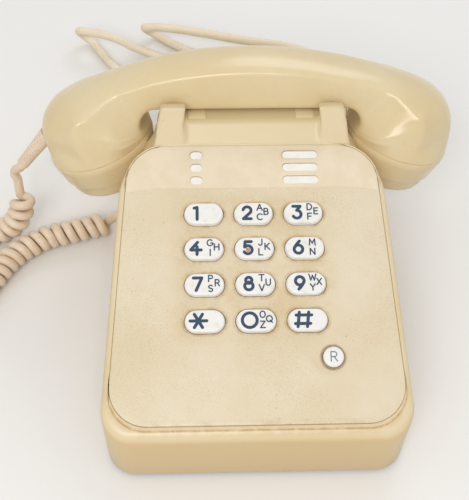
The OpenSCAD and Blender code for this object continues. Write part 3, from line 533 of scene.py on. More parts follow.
def cover_material():
    """The cover: as the body, with painted shade making the walls darker and yellower than the face, and dirt
    in the ledge round the plate.
    """
    m, col, r, grain = shell_plastic("cover_cream", *BODY_COLOURS)
    x, s = face_place(m)
    # painted shade: surfaces that stand upright are mixed towards a darker, yellower tone
    wall = m.ramp(m.math("ABSOLUTE", m.upward()), 0.75, 0.1)
    col = m.mix(m.times(wall, 0.95), col, lin("DFC391"))
    d = m.math("SUBTRACT", far(m, x, s, 0.0, 70.0, 48.6, 48.6), 17.6)
    blotch = m.ramp(m.noise(230, 5, 0.7), 0.36, 0.6)
    fine = m.ramp(m.math("ABSOLUTE", m.math("ADD", d, 0.25)), 0.75, 0.1)
    low = m.ramp(s, 27.0, 12.0)
    dirt = m.times(m.times(fine, low), m.span(blotch, 0.32, 0.3))
    col = m.mix(dirt, col, lin("A87C3C"))
    soft = m.times(m.ramp(m.math("ABSOLUTE", d), 3.2, 0.4), m.ramp(s, 40.0, 10.0))
    col = m.mix(m.times(soft, m.span(blotch, 0.2, 0.05)), col, lin("C39A5C"))
    return body_done(m, col, r, grain)


def neck_material():
    """The neck: as the body, with painted shade that darkens it where it faces up."""
    m, col, r, grain = shell_plastic("neck_cream", *BODY_COLOURS)
    # painted shade: surfaces that face up are mixed towards a darker tone
    col = m.mix(m.times(m.ramp(m.upward(), 0.42, 0.75), 0.8), col, lin("D8C69C"))
    return body_done(m, col, r, grain)


RECALL_AT = (33.7, 35.0)
M_NECK = neck_material()
M_COVER = cover_material()
M_PLATE = plate_material()

m = Nodes("key_white")
worn = m.ramp(m.noise(260, 4, 0.6), 0.48, 0.75)
col = m.mix(worn, lin("F3F2F0"), lin("E8E4DC"))
M_KEY = m.done(col, m.uneven(300, 0.15, 0.28), m.bump(m.noise(1800, 2, 0.5), 0.08, 0.00006),
               Specular_IOR_Level=0.5)

def ink(name, base, worn):
    m = Nodes(name)
    fade = m.ramp(m.noise(900, 4, 0.7), 0.5, 0.8)
    return m.done(m.mix(m.times(fade, 0.3), lin(base), lin(worn)), m.span(fade, 0.2, 0.4))


M_INK = ink("key_ink", "304863", "6F879B")
M_FAINT = ink("key_ink_faint", "62779A", "94A4B8")

m = Nodes("pip_worn")
M_PIP = m.done(m.clouds(1400, "C9A469", "9A7C4C", 0.35, 0.65),
               m.uneven(900, 0.1, 0.1), Specular_IOR_Level=1.0)

m = Nodes("ring_grey")
col = m.clouds(300, "B3A692", "9A8568", 0.35, 0.7)
M_RING = m.done(col, m.uneven(500, 0.2, 0.3))

m = Nodes("card_cream")
col = m.clouds(90, "F2E4CC", "EBDBBE", detail=5)
M_CARD = m.done(col, m.uneven(900, 0.2, 0.5), m.bump(m.noise(1500, 3, 0.6), 0.15, 0.00006))

m = Nodes("card_white")
col = m.clouds(150, "FDFBF8", "F4F1EC")
M_WHITE = m.done(col, m.uneven(900, 0.1, 0.5))

# grey for the window's edge line, and for the painted shade above the label's fields
m = Nodes("edge_and_shade_grey")
col = m.clouds(120, "C2B39C", "A99A84", 0.35, 0.65)
M_EDGE_AND_SHADE = m.done(col, m.uneven(700, 0.15, 0.4))

m = Nodes("window_clear")
haze = m.ramp(m.noise(120, 4, 0.6), 0.35, 0.75)
M_CLEAR = m.done(m.mix(haze, (0.90, 0.84, 0.74, 1), (0.84, 0.77, 0.64, 1)), m.span(haze, 0.12, 0.08),
                 m.bump(m.noise(60), 0.05, 0.0002), Alpha=0.03, Specular_IOR_Level=1.0)


def vinyl(name, base, shade, dirt, rough):
    m = Nodes(name)
    col = m.clouds(60, base, shade)
    spots = m.times(m.ramp(m.noise(420, 4, 0.65), 0.6, 0.78), 0.45)
    col = m.mix(spots, col, lin(dirt))
    return m.done(col, m.uneven(220, 0.18, rough - 0.09), m.bump(m.noise(1300), 0.1, 0.0001),
                  Specular_IOR_Level=0.45, Coat_Weight=0.1, Coat_Roughness=0.35)


M_CURLY = vinyl("curly_vinyl", "F0DFCA", "E8D1B8", "BE9870", 0.4)
m = Nodes("boot_vinyl")
dots = m.put("ShaderNodeTexVoronoi", Vector=m.coord, Scale=620.0)
dots.inputs["Randomness"].default_value = 0.25
dots = m.ramp(dots.outputs["Distance"], 0.34, 0.2)
col = m.clouds(60, "F0DFCA", "E8D1B8")
M_BOOT = m.done(m.mix(m.times(dots, 0.4), col, lin("A9825A")), m.uneven(220, 0.18, 0.34),
                m.bump(dots, -0.4, 0.0003), Specular_IOR_Level=0.45)
M_LINE = vinyl("line_vinyl", "F5EAD6", "EFDFC5", "BEA078", 0.42)


def plain(name, base, shade, rough, scale=150, metal=0.0, grain=900):
    m = Nodes(name)
    col = m.clouds(scale, base, shade)
    return m.done(col, m.uneven(scale * 2, 0.2, rough - 0.1),
                  m.bump(m.noise(grain), 0.15, 0.0001), Metallic=metal)


M_RUBBER = plain("foot_rubber", "3A3630", "2C2925", 0.75)
M_STEEL = plain("zinc_steel", "B9B7B0", "9E9B92", 0.35, 200, 1.0)
M_BOARD = plain("board_green", "2F5E3A", "274F31", 0.45)
M_DARK = plain("switch_dark", "2B2B2E", "232326", 0.5)
M_LIGHT = plain("plug_cream", "DFD6C2", "D2C6AC", 0.42)
M_CAN = plain("can_blue", "3F5478", "35486A", 0.35)
M_COPPER = plain("winding_copper", "A8683A", "8C5430", 0.4, 400, 0.7, 2400)
M_GONG = plain("gong_brass", "B79B5A", "A08448", 0.28, 120, 1.0)

SLOTS = {"body_plastic": M_BODY, "base_plastic": M_BASE, "plate_plastic": M_PLATE,
         "handset_plastic": M_HANDSET, "key_plastic": M_KEY, "ring_plastic": M_RING,
         "clear_plastic": M_CLEAR, "card": M_CARD, "cord_vinyl": M_LINE, "foot_rubber": M_RUBBER,
         "steel": M_STEEL, "board": M_BOARD, "dark_plastic": M_DARK, "light_plastic": M_LIGHT,
         "can": M_CAN, "copper": M_COPPER, "gong_metal": M_GONG}
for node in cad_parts.values():
    for s in node.material_slots:
        if s.material and s.material.name in SLOTS:
            s.material = SLOTS[s.material.name]
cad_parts["handset_boot"].material_slots[0].material = M_BOOT
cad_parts["handset_cord_grip"].material_slots[0].material = M_CURLY


def dress(obj, mat, body, slot, *nodes):
    obj.data.materials.clear()
    obj.data.materials.append(mat)
    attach(obj, body)
    if nodes:
        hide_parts(*nodes)
    return obj


dress(line_lead, M_LINE, "phone", "cord_vinyl", "line_cord", "line_coil")

curly_lead.data.materials.append(M_CURLY)
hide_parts("handset_cord")
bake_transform(curly_lead)

# ---------------- body


def plan(y0, y1, r0, r1, i, n=16):
    """The body's outline seen from above, drawn in by i, with corner radii r0 in front and r1 behind."""
    r = arc(half_w(y0 + r0) - r0, y0 + r0, r0 - i, -90, 4, n)
    t = arc(half_w(y1 - r1) - r1, y1 - r1, r1 - i, 4, 90, n)
    return mirrored(r + between(r[-1], t[0], 20) + t)


def plate_w(s):
    """Half the plate's width at s on the sloping face."""
    return half_w(-BODY_L / 2 + s * COS_TILT) - MARGIN


def plate_outline(grow, n):
    """The right half of the plate's outline, moved outwards by grow."""
    s0, s1 = PLATE_S + PLATE_LOW_R, FACE_LEN - PLATE_R
    r = arc(plate_w(s0) - PLATE_LOW_R, s0, PLATE_LOW_R + grow, -90, 4, n)
    t = arc(plate_w(s1) - PLATE_R, s1, PLATE_R + grow, 4, 90, n)
    return r, t


def beside(x, y, gap=0.7):
    """Moves a point of the cover's upper edge outwards until it clears the plate."""
    s, w = (y + BODY_L / 2) / COS_TILT, abs(x)
    low, high = PLATE_S + PLATE_LOW_R, FACE_LEN - PLATE_R
    if low <= s <= high:
        w = max(w, plate_w(s) + gap)
    else:
        cs, r = (low, PLATE_LOW_R) if s < low else (high, PLATE_R)
        cx = plate_w(cs) - r
        if w > cx:
            d = math.hypot(w - cx, s - cs)
            k = max(1, (r + gap) / d)
            w, s = cx + (w - cx) * k, cs + (s - cs) * k
        elif s > high:
            s = max(s, FACE_LEN + gap)
    return math.copysign(w, x), s * COS_TILT - BODY_L / 2


# the rounded lower edge of the cover: how far it is drawn in at each height
FOOT = ((0.5, COVER_Z), (0.15, COVER_Z + 0.25), (0, COVER_Z + 0.8))


def face_block():
    slope = math.tan(rad(TILT))
    rings = []
    y1 = TOP_Y + EDGE_R

    def ring(e0, e1):
        return [(x, y, FRONT_H + (y + BODY_L / 2) * slope - e1 / COS_TILT) for x, y in
                (beside(*q) for q in plan(-BODY_L / 2, y1, FRONT_R, FACE_R, e0))]

    for e, z in FOOT:
        rings.append([(x, y, z) for x, y in plan(-BODY_L / 2, y1, FRONT_R, FACE_R, e)])
    for k in range(13):
        a = rad(90 * k / 12)
        rings.append(ring(EDGE_R * (1 - math.cos(a)), EDGE_R * (1 - math.sin(a))))
    for grow, n in ((0.55, 0), (0.3, -0.15), (0.25, -0.8)):
        r, t = plate_outline(grow, 16)
        rings.append([face(x, s, n) for x, s in mirrored(r + between(r[-1], t[0], 20) + t)])
    return loft("body_front", rings, cap_start="none", cap_end="ladder")


def shoulder_z(y):
    a = SEAT_Y + 26
    k = (SHOULDER_H - REAR_H) / (BODY_L / 2 - a)
    w = 7.0
    if y < a - w:
        return SHOULDER_H
    if y > a + w:
        return SHOULDER_H - k * (y - a)
    return SHOULDER_H - k * (y - a + w) ** 2 / (4 * w)


def shoulder_block():
    rings = []
    y0, y1 = -BODY_L / 4, BODY_L / 2 + SHOULDER_STEP
    for e, z in FOOT:
        rings.append([(x, y, z) for x, y in plan(y0, y1, FRONT_R, REAR_R, SHOULDER_STEP + e)])
    for k in range(13):
        a = rad(90 * k / 12)
        e0, e1 = EDGE_R * (1 - math.cos(a)), EDGE_R * (1 - math.sin(a))
        rings.append([(x, y, shoulder_z(y) - e1) for x, y in plan(y0, y1, FRONT_R, REAR_R, SHOULDER_STEP + e0)])
    return loft("body_shoulders", rings, cap_start="none", cap_end="ladder")


def neck():
    def across(y, z, x):
        return (x, y, z)

    def along(x, t, w):
        return from_hook(x, w, t)

    front = [(TOP_Y - 6, 20), (TOP_Y - 6, TOP_Z - 8), (TOP_Y + 0.3, TOP_Z - 0.4)]
    back0 = (SEAT_Y + 44, 34)
    saddle_b = hook(-TROUGH_V - 1.6, SADDLE_T)
    knee = (mix(saddle_b[0], back0[0], 0.6), mix(saddle_b[1], back0[1], 0.6))
    side = front + [hook(HORN_V, HORN_T), hook(-HORN_V, HORN_T), knee, back0, (SEAT_Y + 48, 18)]
    obj = prism("body_neck", side, across, -60, 60)
    h = NECK_W / 2
    view = mirrored([(-h - 4.5, -60), (-h - 4.5, 0), (-h - 3, 12), (-h - 0.6, HORN_T - 6), (-h, HORN_T + 3)])
    keep(obj, prism("c", view, along, -60, 60))
    tr = [(-TROUGH_V, SADDLE_T), (-TROUGH_V, SADDLE_T + 22), (TROUGH_V, SADDLE_T + 22), (TROUGH_V, SADDLE_T)]
    cut(obj, loft("c", [[from_hook(x, v, t) for v, t in tr] for x in (-60, 60)]))
    g = HORN_GAP / 2
    window = mirrored([(g + 1.2, -40), (g + 1.8, 13), (g + 1.4, SADDLE_T), (g + 0.4, HORN_T - 1),
                       (g + 0.4, 60)])
    for a, b, sd in ((front[2], hook(TROUGH_V + 3.6, SADDLE_T - 0.3), -1),
                     ((mix(saddle_b[0], back0[0], 0.55), mix(saddle_b[1], back0[1], 0.55)), saddle_b, 1)):
        c, d = (b[0] - 6, b[1]), (b[0] - 6, b[1] + 20)
        if sd < 0:
            c, d = hook(7, SADDLE_T - 0.3), hook(7, SADDLE_T + 20)
        wedge = [a, b, c, d, (a[0] + 12 * sd, a[1] + 30), (a[0] + 12 * sd, a[1])]
        c = prism("c", wedge, across, -59, 59)
        keep(c, prism("d", window, along, -59, 59))
        cut(obj, c)
    return obj


def post(x, hw, w0, w1, t0, t1):
    """An upright block in the cradle's directions."""
    c = [(x - hw, w0), (x + hw, w0), (x + hw, w1), (x - hw, w1)]
    return loft("post", [[from_hook(a, w, t) for a, w in c] for t in (t0, t1)])


def neck_finish(obj):
    """Rounds all edges and inner corners like a moulding, then cuts the plungers' places."""
    m = obj.modifiers.new("r", "REMESH")
    m.mode, m.voxel_size = "VOXEL", 0.75 * MM
    m = obj.modifiers.new("s", "SMOOTH")
    m.factor, m.iterations = 0.5, 14
    applied(obj)
    # the horns stand a little wider than the neck behind them, and their feet flare over the cover's corners
    a = rad(LEAN)
    for v in obj.data.vertices:
        y, z = v.co.y / MM - SEAT_Y, v.co.z / MM - SEAT_Z
        w, t = y * math.cos(a) - z * math.sin(a), y * math.sin(a) + z * math.cos(a)
        front = smooth((-w - 4) / 8)
        out = key(t, (0, 7.5), (3, 6.3), (6, 4.4), (9, 2.9), (14, 2.4), (21, 2.9), (28.5, 1.8)) * front
        v.co.x += (math.copysign(1, v.co.x) * out * smooth((abs(v.co.x) / MM - 34) / 6) + 0.5 * front) * MM
    for sd in (-1, 1):
        for hw, w0, w1, t0 in ((4.35, -TROUGH_V - 1.55, -6.35, 18.35), (3.2, -13.6, -7.6, 6)):
            cut(obj, post(sd * PAD_X, hw, w0, w1, t0, SADDLE_T + 2))
    return obj


def plunger_piece():
    """Both plungers: a pad beside each horn on a stem that slides in the neck."""
    out = []
    for sd in (-1, 1):
        for hw, w0, w1, t0, t1 in ((4.3, -TROUGH_V - 1.5, -6.4, 18.5, SADDLE_T), (2.8, -13.2, -8.0, 8, 18.8)):
            out.append(post(sd * PAD_X, hw, w0, w1, t0, t1))
            bevel(out[-1], 0.25)
    with bpy.context.temp_override(active_object=out[0], selected_editable_objects=out, object=out[0]):
        bpy.ops.object.join()
    out[0].name = out[0].data.name = "plunger_pads"
    return out[0]


dress(face_block(), M_COVER, "phone", "body_plastic", "body_cover")
dress(shoulder_block(), M_COVER, "phone", "body_plastic")
dress(neck_finish(neck()), M_NECK, "phone", "body_plastic")
dress(plunger_piece(), M_BODY, "hook", "body_plastic", "hook_plunger")

# ---------------- face plate
PLATE_EDGE, PLATE_TOP, PLATE_SEAT, STRIP_S = 0.4, 1.6, 0.8, FACE_LEN - 22.3
FLAT_X, FLAT_S, CREASE_R = 47, (27.2, 129.0), 9
SKIRT, SLOT = 0.4, 0.6
KEY_AT = {n: ((i % 3 - 1) * KEY_PITCH, ROW_4 + (3 - i // 3) * ROW_PITCH) for i, n in enumerate(
    ("1", "2", "3", "4", "5", "6", "7", "8", "9", "star", "0", "hash"))}


def plate_ring(k, n=14):
    """Outline of the plate drawn in from its edge (k 0) to its flat middle (k 1)."""
    r, t = plate_outline(0, n)
    r2 = arc(FLAT_X - CREASE_R, FLAT_S[0] + CREASE_R, CREASE_R, -90, 0, n)
    t2 = arc(FLAT_X - CREASE_R, FLAT_S[1] - CREASE_R, CREASE_R, 0, 90, n)
    outer, inner = r + between(r[-1], t[0], 12) + t, r2 + between(r2[-1], t2[0], 12) + t2
    return mirrored([(mix(a[0], b[0], k), mix(a[1], b[1], k)) for a, b in zip(outer, inner)])


def pillow(name, drop=0.0, bottom=-PLATE_SEAT):
    rings = [[face(x, s, bottom) for x, s in plate_ring(0)]]
    steps = [(0, PLATE_EDGE - 0.35), (0.008, PLATE_EDGE - 0.12), (0.03, PLATE_EDGE)]
    for k in range(1, 15):
        u = k / 14
        # nearly flat flanks that turn into the middle over a soft crease
        h = PLATE_EDGE + (PLATE_TOP - PLATE_EDGE) * (u - 0.08 * smooth((u - 0.7) / 0.3))
        if u > 0.82:
            h = min(h, PLATE_TOP - 0.09 * (1 - smooth((u - 0.82) / 0.18)))
        steps.append((mix(0.03, 1.0, u), h))
    steps[-1] = (1.0, PLATE_TOP - 0.04)
    steps.append((1.07, PLATE_TOP))
    for k, n in steps:
        rings.append([face(x, s, n - drop) for x, s in plate_ring(k)])
    return loft(name, rings, cap_start="ladder", cap_end="ladder", angle=50)


def strip_side(gap):
    """All that lies behind the strip's lower edge, which bends forward at its ends."""
    s0 = STRIP_S + gap
    edge = mirrored([(-100, s0 - 5), (-62, s0 - 1.6), (-50, s0 - 0.4), (-44, s0)])
    return loft("c", [[face(x, s, n) for x, s in edge + [(100, s0 + 60), (-100, s0 + 60)]] for n in (-20, 20)])


def obround(l, w, at, n=16):
    return [(x + at[0], y + at[1]) for x, y in mirrored(arc((l - w) / 2, 0, w / 2, -90, 90, n))]


plate = pillow("face_plate")
sunk = pillow("strip_part", 0.9, -3.4)
cut(plate, strip_side(0))
keep(sunk, strip_side(-0.01))
for at in KEY_AT.values():
    slot = obround(KEY_L + SKIRT + SLOT, KEY_W + SKIRT + SLOT, at)
    cut(plate, loft("c", [[face(x, s, n) for x, s in slot] for n in (-5, 5)]))
cut(plate, loft("c", [[face(x, s, n) for x, s in circle(5.5, 48, *RECALL_AT)] for n in (-5, 5)]))
dress(plate, M_PLATE, "phone", "plate_plastic", "faceplate")
dress(sunk, M_PLATE, "phone", "plate_plastic")

window = pillow("label_cover", 0.0, -PLATE_SEAT)
keep(window, strip_side(0.1))
cut(window, pillow("c", 0.55, -3))
dress(window, M_CLEAR, "phone", "clear_plastic", "label_window")



def flat_piece(name, outlines, n):
    """Flat outlines on the sloping face at height n, each one polygon."""
    bm = bmesh.new()
    for pts in outlines:
        bm.faces.new([bm.verts.new(Vector(face(x, s, n)) * MM) for x, s in pts])
    return from_bmesh(name, bm)


# the card fills the strip, and a thin line runs round the window's edge
sheet = pillow("label_sheet", 0.62, -1.2)
keep(sheet, strip_side(0.15))
dress(sheet, M_CARD, "phone", "card", "label_card")
rim = pillow("label_rim", -0.03, -0.7)
cut(rim, pillow("c", 0.12, -3))
keep(rim, strip_side(0.12))
hollow = loft("c", [[face(x, s, n) for x, s in plate_ring(0.05)] for n in (-4, 4)], "ladder", "ladder")
keep(hollow, strip_side(0.42))
cut(rim, hollow)
dress(rim, M_EDGE_AND_SHADE, "phone", "clear_plastic")

# blank fields on the card: three short ones on the left and three long ones on the right
FIELDS = [(x, s, w) for s in (132.0, 125.7, 119.4) for x, w in ((-26.4, 5.6), (22.6, 16.6))]
# grey shapes sit a little higher and wider behind the white fields, so that a grey crescent shows above each
# field as painted shade
for name, grow, high, move, n, mat in (("label_field_shades", 0.3, 4.0, (0, 0.2), 1.0, M_EDGE_AND_SHADE),
                                       ("label_fields", 0, 3.6, (0.1, -0.1), 1.02, M_WHITE)):
    shapes = [obround(w + grow, high, (x + move[0], s + move[1]), 8) for x, s, w in FIELDS]
    dress(flat_piece(name, shapes, n), mat, "phone", "card")

# ---------------- keys


def key_piece(name, at):
    rings = []
    profile = ((SKIRT, -1.6), (SKIRT, 1.45), (0.36, 1.7), (0.26, 1.85), (0.08, 1.95), (0.0, 2.1), (-0.05, 3.1),
               (-0.2, 3.45), (-0.55, 3.75), (-1.1, 3.93), (-1.9, 4.0), (-3.2, 4.02), (-5.4, 3.98), (-8.0, 3.95))
    for grow, n in profile:
        rings.append([face(x, s, n) for x, s in obround(KEY_L + grow, max(KEY_W + grow, 0.4), at, 14)])
    return loft(name, rings, angle=60)


for n, at in KEY_AT.items():
    dress(key_piece("key_top_" + n, at), M_KEY, "key_%s_cap" % n, "key_plastic", "key_" + n)


def turned(name, profile, at, n=64, ends="fan"):
    """A round part on the sloping face: profile holds (radius, height) pairs from the foot to the top."""
    return loft(name, [[face(x, s, h) for x, s in circle(r, n, *at)] for r, h in profile], ends, ends, 50)


KNOB = ((4.6, -1.3), (4.6, 2.9), (4.5, 3.4), (4.25, 3.72), (3.8, 3.92), (3.0, 4.0), (1.5, 4.02), (0.1, 4.02))
dress(turned("key_top_r", KNOB, RECALL_AT), M_KEY, "key_r_cap", "key_plastic", "key_r")
RING = ((5.45, -0.7), (5.45, 1.9), (5.38, 2.1), (5.2, 2.2), (5.0, 2.2), (4.85, 2.12), (4.76, 1.95),
        (4.74, -0.7))
dress(turned("recall_ring", RING, RECALL_AT, ends="none"), M_RING, "phone", "ring_plastic", "key_r_ring")

LETTERS = {"2": "ABC", "3": "DEF", "4": "GHI", "5": "JKL", "6": "MN", "7": "PRS", "8": "TUV", "9": "WXY",
           "0": "OQZ"}


def bar(x, y, length, turn):
    c, d = length / 2 * math.cos(rad(turn)), length / 2 * math.sin(rad(turn))
    return [(x - c, y - d), (x + c, y + d)]


SIX = [bow(0, -0.95, 1.95, 0, 360, n=24), [(0.55, 2.9), (-0.5, 1.75), (-1.3, 0.6), (-1.85, -0.45)]]
# the middle lines of the printed digits in millimetres, and of the letters for a height of one
DIGITS = {
    "1": [[(-1.35, 2.55), (0, 2.9)], [(0, 2.9), (0, -2.9)]],
    "2": [bow(0, 1.15, 1.75, 168, -36, 1.05) + [(-1.7, -2.8)], [(-1.75, -2.9), (1.85, -2.9)]],
    "3": [[(-1.8, 2.9), (1.6, 2.9)], [(1.6, 2.9), (-0.1, 0.95)], bow(-0.05, -0.98, 1.92, 92, -150)],
    "4": [[(0.8, 2.9), (-2.3, -0.6)], [(-2.3, -0.75), (2.4, -0.75)], [(0.55, 0.8), (0.55, -2.9)]],
    "5": [[(1.6, 2.9), (-1.25, 2.9)], [(-1.25, 2.9), (-1.5, 0.35)], bow(-0.05, -0.95, 1.95, 138, -150)],
    "6": SIX, "7": [[(-1.9, 2.9), (1.9, 2.9)], [(1.9, 2.9), (-0.7, -2.9)]],
    "8": [bow(0, 1.5, 1.4, 0, 360, n=24), bow(0, -1.12, 1.8, 0, 360, 1.04, 24)],
    "9": [[(-x, -y) for x, y in line] for line in SIX], "0": [bow(0, 0, 3.3, 0, 360, n=36)],
    "star": [bar(0, 0, 7.4, 0), bar(0, 0, 7.0, 59), bar(0, 0, 7.0, 121)],
    "hash": [bar(0.2, 2.0, 6.9, 0), bar(-0.3, -1.85, 6.8, 0), bar(-2.2, 0, 6.6, 83), bar(2.0, 0, 6.6, 83)]}
P_LINES = [[(-.3, 0), (-.3, 1)], [(-.3, 1), (.04, 1)] + bow(.05, .74, .26, 90, -90) + [(-.3, .48)]]
SIGNS = {
    "A": [[(-.42, 0), (0, 1), (.42, 0)], [(-.27, .34), (.27, .34)]],
    "B": [[(-.32, 0), (-.32, 1)], [(-.32, 1), (.02, 1)] + bow(.04, .76, .24, 90, -90) + [(-.32, .52)],
          bow(.06, .26, .26, 90, -90) + [(-.32, 0)]],
    "C": [bow(.05, .5, .49, 48, 312, .95)],
    "D": [[(-.35, 0), (-.35, 1)], [(-.35, 1), (-.12, 1)] + bow(-.1, .5, .5, 90, -90, .95) + [(-.35, 0)]],
    "E": [[(.3, 1), (-.3, 1), (-.3, 0), (.3, 0)], [(-.3, .52), (.22, .52)]],
    "F": [[(.3, 1), (-.3, 1), (-.3, 0)], [(-.3, .5), (.2, .5)]],
    "G": [bow(0, .5, .49, 48, 335, .95), [(.44, .3), (.44, .46), (.1, .46)]],
    "H": [[(-.36, 0), (-.36, 1)], [(.36, 0), (.36, 1)], [(-.36, .52), (.36, .52)]],
    "I": [[(0, 0), (0, 1)]], "J": [[(.22, 1), (.22, .3)] + bow(-.04, .26, .26, 0, -165)],
    "K": [[(-.33, 0), (-.33, 1)], [(.33, 1), (-.33, .38)], [(-.12, .6), (.36, 0)]],
    "L": [[(-.3, 1), (-.3, 0), (.3, 0)]], "M": [[(-.45, 0), (-.38, 1), (0, .3), (.38, 1), (.45, 0)]],
    "N": [[(-.36, 0), (-.36, 1), (.36, 0), (.36, 1)]], "O": [bow(0, .5, .5, 0, 360, .8, 20)],
    "P": P_LINES,
    "Q": [bow(0, .5, .47, 0, 360, .95, 20), [(.12, .25), (.45, -.08)]],
    "R": P_LINES + [[(.02, .48), (.36, 0)]],
    "S": [bow(0, .75, .25, 35, 270, 1.15) + bow(0, .25, .25, 90, -150, 1.2)],
    "T": [[(-.38, 1), (.38, 1)], [(0, 1), (0, 0)]],
    "U": [[(-.34, 1), (-.34, .34)] + bow(0, .34, .34, 180, 360) + [(.34, 1)]],
    "V": [[(-.4, 1), (0, 0), (.4, 1)]], "W": [[(-.55, 1), (-.28, 0), (0, .8), (.28, 0), (.55, 1)]],
    "X": [[(-.36, 0), (.36, 1)], [(-.36, 1), (.36, 0)]],
    "Y": [[(-.38, 1), (0, .48)], [(.38, 1), (0, .48), (0, 0)]],
    "Z": [[(-.34, 1), (.34, 1), (-.36, 0), (.36, 0)]]}


def parted(line):
    """Splits a line at its sharp corners, so that each part gets round ends there."""
    out = [[line[0]]]
    for i, p in enumerate(line[1:], 1):
        if math.dist(p, out[-1][-1]) < 0.02:
            continue
        out[-1].append(p)
        if i + 1 < len(line):
            a = math.atan2(p[1] - out[-1][-2][1], p[0] - out[-1][-2][0])
            b = math.atan2(line[i + 1][1] - p[1], line[i + 1][0] - p[0])
            if math.dist(p, line[i + 1]) > 0.02 and abs((b - a + math.pi) % (2 * math.pi) - math.pi) > rad(38):
                out.append([p])
    return [q for q in out if len(q) > 1]


def stroke(bm, line, half, n):
    """A flat printed stroke of even width with round ends."""
    p = np.array(line, float)
    t = ways(p)
    ring = np.linalg.norm(p[0] - p[-1]) < 0.01
    if ring:
        t[0] = t[-1] = (t[0] + t[-1]) / np.linalg.norm(t[0] + t[-1])
    rows = [(p[i], t[i], half) for i in range(len(p))]
    if not ring:
        for b in (65, 42, 22, 6):
            rows.insert(0, (p[0] - t[0] * half * math.cos(rad(b)), t[0], half * math.sin(rad(b))))
            rows.append((p[-1] + t[-1] * half * math.cos(rad(b)), t[-1], half * math.sin(rad(b))))
    pairs = [[bm.verts.new(Vector(face(c[0] - e * w[1] * h, c[1] + e * w[0] * h, n)) * MM) for e in (-1, 1)]
             for c, w, h in rows]
    for (a, b), (c, d) in zip(pairs, pairs[1:]):
        bm.faces.new((a, c, d, b))


def lettering(name, items, body, mat=M_INK):
    """Flat printed signs: items are (lines, x, s, scale, half width of the stroke)."""
    bm = bmesh.new()
    n = 4.05
    for lines, x, s, scale, half in items:
        for line in lines:
            for part in parted([(x + a * scale, s + b * scale) for a, b in line]):
                stroke(bm, part, half, n)
                n += 0.004
    dress(from_bmesh(name, bm), mat, body, "key_plastic")


# letters stand beside the digit: the first above, the second to the right, the third below
PLACES = ((2.8, 2.6), (5.75, 0.55), (2.8, -2.0))
for n, at in KEY_AT.items():
    items = [(DIGITS[n], at[0] + {"hash": -2.0, "4": -3.7, "star": -2.8}.get(n, -3.0), at[1], 1.0, 0.7)]
    if n in LETTERS:
        spots = PLACES if len(LETTERS[n]) > 2 else ((3.4, 2.4), (3.4, -2.1))
        for letter, (dx, ds) in zip(LETTERS[n], spots):
            items.append((SIGNS[letter], at[0] + dx, at[1] + ds - 1.45, 2.9, 0.29))
    lettering("print_" + n, items, "key_%s_cap" % n)
lettering("print_r", [(SIGNS["R"], RECALL_AT[0], RECALL_AT[1] - 2.1, 4.2, 0.24)], "key_r_cap", M_FAINT)
PIP = ((0.95, 3.9), (0.93, 4.2), (0.8, 4.36), (0.5, 4.46), (0.1, 4.5))
dress(turned("pip_5", PIP, (KEY_AT["5"][0] - 3.05, KEY_AT["5"][1] - 0.95), 24),
             M_PIP, "key_5_cap", "key_plastic")

# ---------------- handset
PIVOT_GAP = 3
PIVOT_X = CUP_DIST / 2 - (CUP_R + PIVOT_GAP) * math.cos(rad(CUP_TILT))
PIVOT_T = (CUP_R + PIVOT_GAP) * math.sin(rad(CUP_TILT))
BAND, FALL = 13.2, 2.4


def back_line(x):
    return 45.2 - 0.0026 * x * x


def fan_top(a, side):
    """Distance from the fan's middle to the handset's back at angle a, with the outer wall rounded into it."""
    lo, hi = 0.0, 90.0
    for _ in range(40):
        m = (lo + hi) / 2
        if PIVOT_T + m * math.sin(rad(a)) < back_line(PIVOT_X + m * math.cos(rad(a))):
            lo = m
        else:
            hi = m
    if a > 80:
        return lo
    swell = (0.5 if side > 0 else 2.9) * smooth((a + CUP_TILT) / 22)
    wall = ((2 * CUP_R + PIVOT_GAP) * math.cos(rad(CUP_TILT)) + swell) / math.cos(rad(a))
    return (wall ** -9 + lo ** -9) ** (-1 / 9)


def fan_low(a):
    return mix(PIVOT_GAP, GRIP_T - PIVOT_T, smooth((a + CUP_TILT) / (90 + CUP_TILT)))


